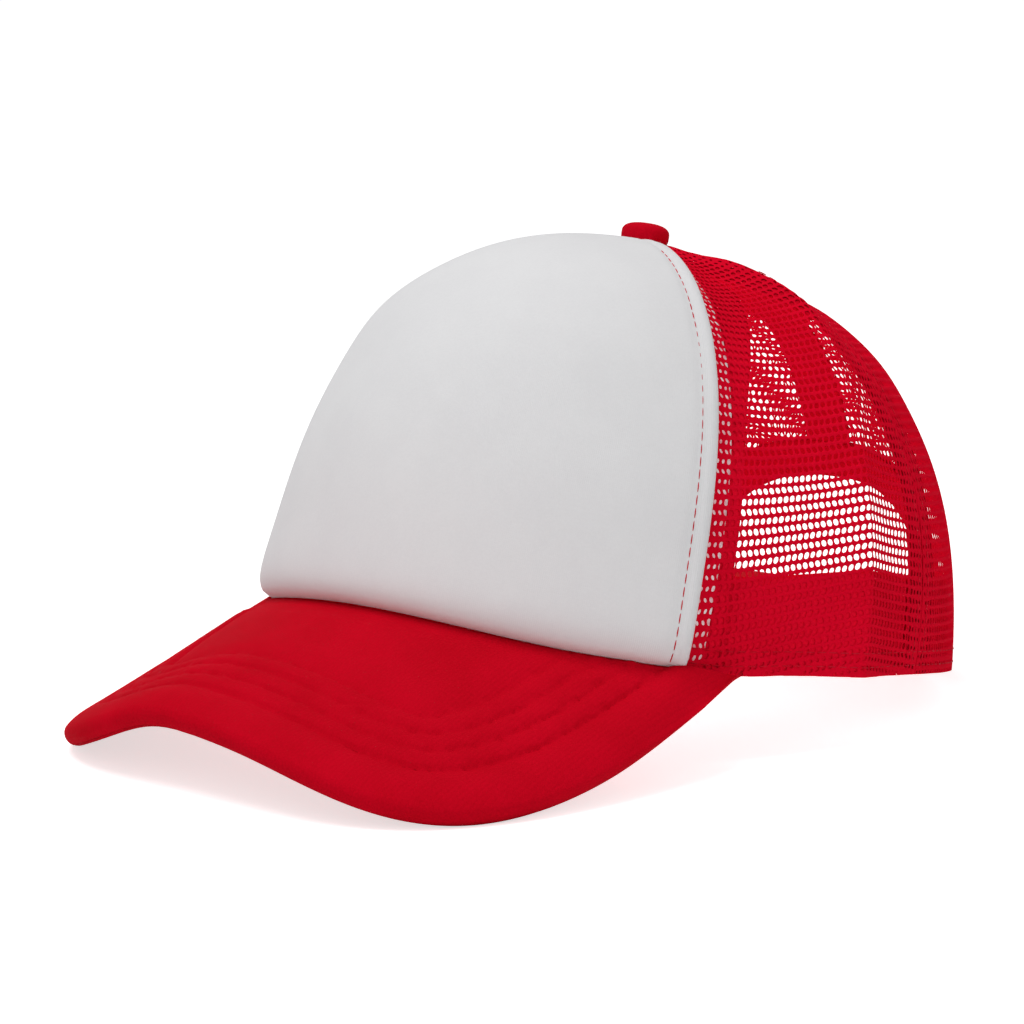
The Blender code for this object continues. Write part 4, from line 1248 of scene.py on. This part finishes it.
def snap_cell(mesh, middle):
    """Flat square of strap, in millimetres, round one hole with a rim."""
    wide, tall = 0.5 * SNAP_PITCH * MM, 0.5 * STRAP_WIDTH * MM
    hole = (PEG_RADIUS + PEG_CLEARANCE) * MM
    rim = hole + SNAP_RIM * MM
    angles = [2.0 * math.pi * step / SNAP_SIDES for step in range(SNAP_SIDES)]
    rings = []
    for radius in (hole, rim, rim + SNAP_RIM_SLOPE * MM):
        rings.append([mesh.verts.new((middle + radius * math.cos(angle), radius * math.sin(angle), 0.0))
                      for angle in angles])
    outer = []
    for angle in angles:
        scale = min(wide / max(abs(math.cos(angle)), 1e-9), tall / max(abs(math.sin(angle)), 1e-9))
        outer.append(mesh.verts.new((middle + scale * math.cos(angle), scale * math.sin(angle), 0.0)))

    def on_side(vert):
        return abs(abs(vert.co.x - middle) - wide) < 1e-6
    corners = {}
    for step in range(SNAP_SIDES):
        angle = 2.0 * math.pi * (step + 0.5) / SNAP_SIDES
        if on_side(outer[step]) != on_side(outer[(step + 1) % SNAP_SIDES]):
            corners[step] = mesh.verts.new((middle + math.copysign(wide, math.cos(angle)),
                                            math.copysign(tall, math.sin(angle)), 0.0))
    for inner, wider in zip(rings, rings[1:] + [outer]):
        for step in range(SNAP_SIDES):
            after = (step + 1) % SNAP_SIDES
            loop = [inner[step], wider[step], wider[after], inner[after]]
            if wider is outer and step in corners:
                loop.insert(2, corners[step])
            mesh.faces.new(loop)


def plain_strip(mesh, arcs):
    """Flat strip of strap, in millimetres, between the given arcs."""
    heights = [0.5 * STRAP_WIDTH * share for share in STRAP_LINES]
    lines = [[mesh.verts.new((arc * MM, height * MM, 0.0)) for height in heights] for arc in arcs]
    for low, high in zip(lines, lines[1:]):
        for step in range(len(heights) - 1):
            mesh.faces.new([low[step], high[step], high[step + 1], low[step + 1]])


def bent_strap(mesh, side, depth):
    """Give a flat strap its thickness and rounded edges, and bend it along the rear rim."""
    bmesh.ops.remove_doubles(mesh, verts=mesh.verts[:], dist=0.02)
    bmesh.ops.recalc_face_normals(mesh, faces=mesh.faces[:])
    bmesh.ops.solidify(mesh, geom=mesh.faces[:], thickness=1.0)
    low = min(vert.co.z for vert in mesh.verts)
    hole = PEG_RADIUS + PEG_CLEARANCE
    lay_flat(mesh, (1.0 / MM, 1.0 / MM))
    for vert in mesh.verts:
        arc, height, through = vert.co.x / MM, vert.co.y / MM, min(max(vert.co.z - low, 0.0), 1.0)
        nearest = min(math.hypot(arc - snap, height) for snap in snap_arcs())
        raised = SNAP_RIM_LIFT if nearest < hole + SNAP_RIM + 0.0001 else 0.0
        lift = -depth(arc) - STRAP_THICKNESS * (1.0 - through) + raised * through
        vert.co = rear_point(side * arc, strap_height(height, arc + STRAP_FREE_END), lift)
    face_out(mesh)
    sharp = [edge for edge in mesh.edges if edge.is_manifold and edge.calc_face_angle() > STRAP_SHARP_ANGLE]
    bmesh.ops.bevel(mesh, geom=sharp, offset=STRAP_EDGE_ROUNDING, affect="EDGES", segments=2, profile=0.5,
                    material=-1, clamp_overlap=True)
    return mesh


def even_steps(low, high, longest):
    count = max(math.ceil((high - low) / longest), 1)
    return [mix(low, high, step / count) for step in range(count + 1)]


def strap_with_holes():
    mesh = bmesh.new()
    arcs = snap_arcs()
    for arc in arcs:
        snap_cell(mesh, arc * MM)
    first, last = arcs[0] - 0.5 * SNAP_PITCH, arcs[-1] + 0.5 * SNAP_PITCH
    plain_strip(mesh, [mix(-STRAP_FREE_END, first, 1.0 - (1.0 - step / 4.0) ** 2) for step in range(5)])
    plain_strip(mesh, even_steps(last, STRAP_SEWN_END, STRAP_GRID))
    bent_strap(mesh, 1.0, lambda arc: STRAP_OUTER_DEPTH)
    piece = finished("holed_strap", mesh, PLASTIC, ["strap_with_holes"], body=None)
    start = rear_point(STRAP_HINGE_ARC + STRAP_BEND_LENGTH, STRAP_MIDDLE, -STRAP_OUTER_DEPTH)
    end = rear_point(STRAP_HINGE_ARC - STRAP_BEND_LENGTH, STRAP_MIDDLE, -STRAP_OUTER_DEPTH)
    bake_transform(piece)
    return piece


def peg_profile():
    """Half of a peg with a domed head, whose foot stands in the strap."""
    foot = -0.5 * STRAP_THICKNESS
    profile = [(0.0, foot), (PEG_RADIUS, foot), (PEG_RADIUS, PEG_NECK)]
    for step in range(1, STRAP_ROUND_STEPS + 1):
        angle = 0.5 * math.pi * step / STRAP_ROUND_STEPS
        profile.append((PEG_RADIUS * math.cos(angle), PEG_NECK + PEG_RADIUS * math.sin(angle)))
    return profile


def strap_with_pegs():
    def depth(arc):
        return mix(STRAP_INNER_DEPTH, STRAP_OUTER_DEPTH, ease((arc - STRAP_STEP_END) / STRAP_STEP_LENGTH))
    mesh = bmesh.new()
    near_end = []
    for step in range(STRAP_ROUND_STEPS + 1):
        angle = 0.5 * math.pi * step / STRAP_ROUND_STEPS
        near_end.append(-STRAP_FREE_END + STRAP_ROUND_LENGTH * (1.0 - math.cos(angle)))
    plain_strip(mesh, near_end + even_steps(near_end[-1], STRAP_SEWN_END, STRAP_GRID)[1:])
    bent_strap(mesh, -1.0, depth)
    for arc in snap_arcs():
        turn = turn_at_arc(-arc)
        out = crown_normal(turn, climb_at_height(turn, STRAP_MIDDLE))
        upright = out.to_track_quat("Z", "Y").to_matrix().to_4x4()
        peg = turned(peg_profile(), SNAP_SIDES)
        place = Matrix.Translation(rear_point(-arc, STRAP_MIDDLE, -depth(arc))) @ upright
        bmesh.ops.transform(peg, matrix=place, verts=peg.verts[:])
        face_out(peg)
        data = bpy.data.meshes.new("peg")
        peg.to_mesh(data)
        peg.free()
        mesh.from_mesh(data)
        bpy.data.meshes.remove(data)
    piece = finished("pegged_strap", mesh, PLASTIC, ["strap_with_pegs"], body=None)
    start = rear_point(-STRAP_SEWN_END, STRAP_MIDDLE, -STRAP_OUTER_DEPTH)
    end = rear_point(-STRAP_SEWN_END + 3.0 * STRAP_BEND_LENGTH, STRAP_MIDDLE, -STRAP_OUTER_DEPTH)
    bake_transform(piece)
    return piece


# Top button

def button_cover():
    """Cloth drawn over a dome and gathered under its edge."""
    brim = LAYER_GAP + BUTTON_BRIM
    profile = [(0.0, BUTTON_HEIGHT)]
    for step in range(1, BUTTON_DOME_STEPS + 1):
        angle = 0.5 * math.pi * step / BUTTON_DOME_STEPS
        profile.append((BUTTON_RADIUS * math.sin(angle) ** BUTTON_DOME_SPREAD,
                        brim + (BUTTON_HEIGHT - brim) * math.cos(angle) ** BUTTON_DOME_RISE))
    for step in range(1, BUTTON_TUCK_STEPS + 1):
        angle = 0.5 * math.pi * step / BUTTON_TUCK_STEPS
        tuck = BUTTON_TUCK * (1.0 - math.cos(angle))
        profile.append((BUTTON_RADIUS - tuck, brim * (1.0 - math.sin(angle))))
    profile.append((BUTTON_RADIUS - BUTTON_MOUTH, 0.0))
    mesh = turned(profile, BUTTON_SIDES)
    bmesh.ops.recalc_face_normals(mesh, faces=mesh.faces[:])
    cloth_map = mesh.loops.layers.uv.new("cloth")
    for face in mesh.faces:
        for loop in face.loops:
            loop[cloth_map].uv = (loop.vert.co.x * MM, loop.vert.co.y * MM)
    for vert in mesh.verts:
        around = math.atan2(vert.co.y, vert.co.x)
        low = 1.0 - ease((vert.co.z - LAYER_GAP) / BUTTON_BRIM)
        shrink = 1.0 - BUTTON_GATHER_DEPTH * low * math.cos(BUTTON_GATHERS * around)
        vert.co = Vector((vert.co.x * shrink, vert.co.y * shrink, vert.co.z - BUTTON_SINK))
    seat = Matrix.Translation((0.0, -BUTTON_FORWARD - BUTTON_SHIFT, CROWN_HEIGHT))
    bmesh.ops.transform(mesh, matrix=seat, verts=mesh.verts[:])
    piece = finished("button_cloth", mesh, VISOR_CLOTH, ["button_cover"])
    wall = piece.modifiers.new("cloth_thickness", "SOLIDIFY")
    wall.thickness = BUTTON_CLOTH_THICKNESS
    wall.offset = -1.0
    return piece


# Build

front_panel()
front_topstitching()
seam_allowance("seam_allowance_left", 1.0)
seam_allowance("seam_allowance_right", -1.0)
for hand, side in (("left", 1.0), ("right", -1.0)):
    net_panel("side_net_" + hand, "side_mesh_" + hand, side, front_seam, side_seam, SIDE_NET_THICKNESS)
    net_panel("rear_net_" + hand, "rear_mesh_" + hand, side, side_seam, rear_seam, NET_THICKNESS,
              arched=True)
    seam_tape("front_tape_" + hand, "front_seam_tape_" + hand, front_seam, side,
              reach=FRONT_TAPE_REACH)
    seam_tape("side_tape_" + hand, "side_seam_tape_" + hand, side_seam, side)
seam_tape("rear_tape", "rear_seam_tape", rear_seam, 1.0,
          ARCH_HEIGHT + BINDING_WIDTH)
sweatband()
rear_arch_binding()
net_stitching()
strap_with_holes()
strap_with_pegs()
visor_layer("visor_top_cloth", "visor_top_cover", VISOR_CLOTH, top=0.0,
            bottom=VISOR_TOP_THICKNESS, end=VISOR_BLUNT_END, columns=250, rows=96, edge_angle=-0.85,
            quilting=1.0)
visor_layer("visor_under_cloth", "visor_under_cover", VISOR_CLOTH,
            top=VISOR_THICKNESS - VISOR_UNDER_THICKNESS, bottom=VISOR_THICKNESS, end=VISOR_BLUNT_END,
            columns=180, rows=64, edge_angle=0.98, quilting=0.4)
visor_layer("visor_stiffener", "visor_board", BOARD, top=VISOR_TOP_THICKNESS + LAYER_GAP,
            bottom=VISOR_TOP_THICKNESS + LAYER_GAP + VISOR_BOARD_THICKNESS, end=0.93, columns=80, rows=24,
            edge_angle=None, quilting=0.0)
visor_stitching("visor_top_stitching", above=True)
visor_stitching("visor_under_stitching", above=False)
button_cover()
for node in ("button_shell", "button_washer"):
    frame["nodes"][node].data.materials.clear()
    frame["nodes"][node].data.materials.append(METAL)


# Stage: pale floor, soft light and the photograph's camera

FLOOR_GLOW = 0.62


def seen_directly(tree):
    """1 where the camera or a reflection looks at the surface, 0 for the light that it gives."""
    path = shader_node(tree, "ShaderNodeLightPath")
    direct = maths(tree, "MAXIMUM", path.outputs["Is Camera Ray"], path.outputs["Is Glossy Ray"])
    return maths(tree, "MAXIMUM", direct, path.outputs["Is Transmission Ray"])


def floor():
    mesh = bmesh.new()
    bmesh.ops.create_grid(mesh, x_segments=1, y_segments=1, size=20.0)
    data = bpy.data.meshes.new("floor")
    mesh.to_mesh(data)
    mesh.free()
    made = bpy.data.materials.new("pale_floor")
    made.use_nodes = True
    tree = made.node_tree
    shader = tree.nodes["Principled BSDF"]
    shader.inputs["Base Color"].default_value = (0.90, 0.90, 0.90, 1.0)
    shader.inputs["Roughness"].default_value = 0.9
    shader.inputs["Specular IOR Level"].default_value = 0.0
    shader.inputs["Emission Color"].default_value = (1.0, 1.0, 1.0, 1.0)
    glow = maths(tree, "MULTIPLY", seen_directly(tree), FLOOR_GLOW)
    tree.links.new(glow, shader.inputs["Emission Strength"])
    data.materials.append(made)
    piece = bpy.data.objects.new("floor", data)
    bpy.context.scene.collection.objects.link(piece)


def soft_light(name, place, aim, side, watts):
    lamp = bpy.data.lights.new(name, "AREA")
    lamp.shape = "SQUARE"
    lamp.size = side
    lamp.energy = watts
    piece = bpy.data.objects.new(name, lamp)
    piece.location = place
    piece.rotation_mode = "QUATERNION"
    piece.rotation_quaternion = (Vector(aim) - Vector(place)).to_track_quat("-Z", "Y")
    bpy.context.scene.collection.objects.link(piece)


def inside_light(watts):
    """Weak fill in the head's space, for the light that cloth and net let through."""
    lamp = bpy.data.lights.new("inside_fill", "POINT")
    lamp.energy = watts
    lamp.shadow_soft_size = 0.03
    piece = bpy.data.objects.new("inside_fill", lamp)
    piece.location = HEAD_FRAME @ Vector((0.0, 0.0, 0.045))
    piece.visible_camera = False
    piece.visible_glossy = False
    bpy.context.scene.collection.objects.link(piece)


def white_surroundings(strength):
    """Even white light all round, and plain white wherever the surroundings themselves are seen."""
    world = bpy.data.worlds.new("white_surroundings")
    world.use_nodes = True
    bpy.context.scene.world = world
    tree = world.node_tree
    light = tree.nodes["Background"]
    light.inputs["Color"].default_value = (1.0, 1.0, 1.0, 1.0)
    light.inputs["Strength"].default_value = strength
    seen = shader_node(tree, "ShaderNodeBackground", {"Color": (1.0, 1.0, 1.0, 1.0), "Strength": 1.0})
    both = shader_node(tree, "ShaderNodeMixShader", {0: seen_directly(tree), 1: light.outputs[0],
                                                     2: seen.outputs[0]})
    tree.links.new(both.outputs[0], tree.nodes["World Output"].inputs["Surface"])


def photograph_camera():
    right = Vector((math.cos(CAMERA_AZIMUTH), math.sin(CAMERA_AZIMUTH), 0.0))
    back = Vector((math.sin(CAMERA_AZIMUTH) * math.cos(CAMERA_ELEVATION),
                   -math.cos(CAMERA_AZIMUTH) * math.cos(CAMERA_ELEVATION), math.sin(CAMERA_ELEVATION)))
    up = back.cross(right)
    data = bpy.data.cameras.new("photograph_camera")
    data.sensor_width = SENSOR_MM
    data.lens = SENSOR_MM * CAMERA_FOCAL_PX / PHOTO_SIDE_PX
    data.clip_start, data.clip_end = 0.01, 50.0
    camera = bpy.data.objects.new("photograph_camera", data)
    place = HEAD_ORIGIN + right * CAMERA_AIM_RIGHT + up * CAMERA_AIM_UP + back * CAMERA_DISTANCE
    turn = Matrix((right, up, back)).transposed().to_4x4()
    camera.matrix_world = Matrix.Translation(place) @ turn
    bpy.context.scene.collection.objects.link(camera)
    bpy.context.scene.camera = camera


floor()
white_surroundings(strength=0.455)
soft_light("key_light", place=(-0.22, -0.42, 1.7), aim=(0.0, 0.0, 0.05), side=1.0, watts=14.0)
soft_light("front_fill", place=(1.35, -0.85, 0.5), aim=(0.0, 0.0, 0.06), side=1.2, watts=3.0)
inside_light(watts=0.08)
photograph_camera()
bpy.context.scene.view_settings.view_transform = "Standard"
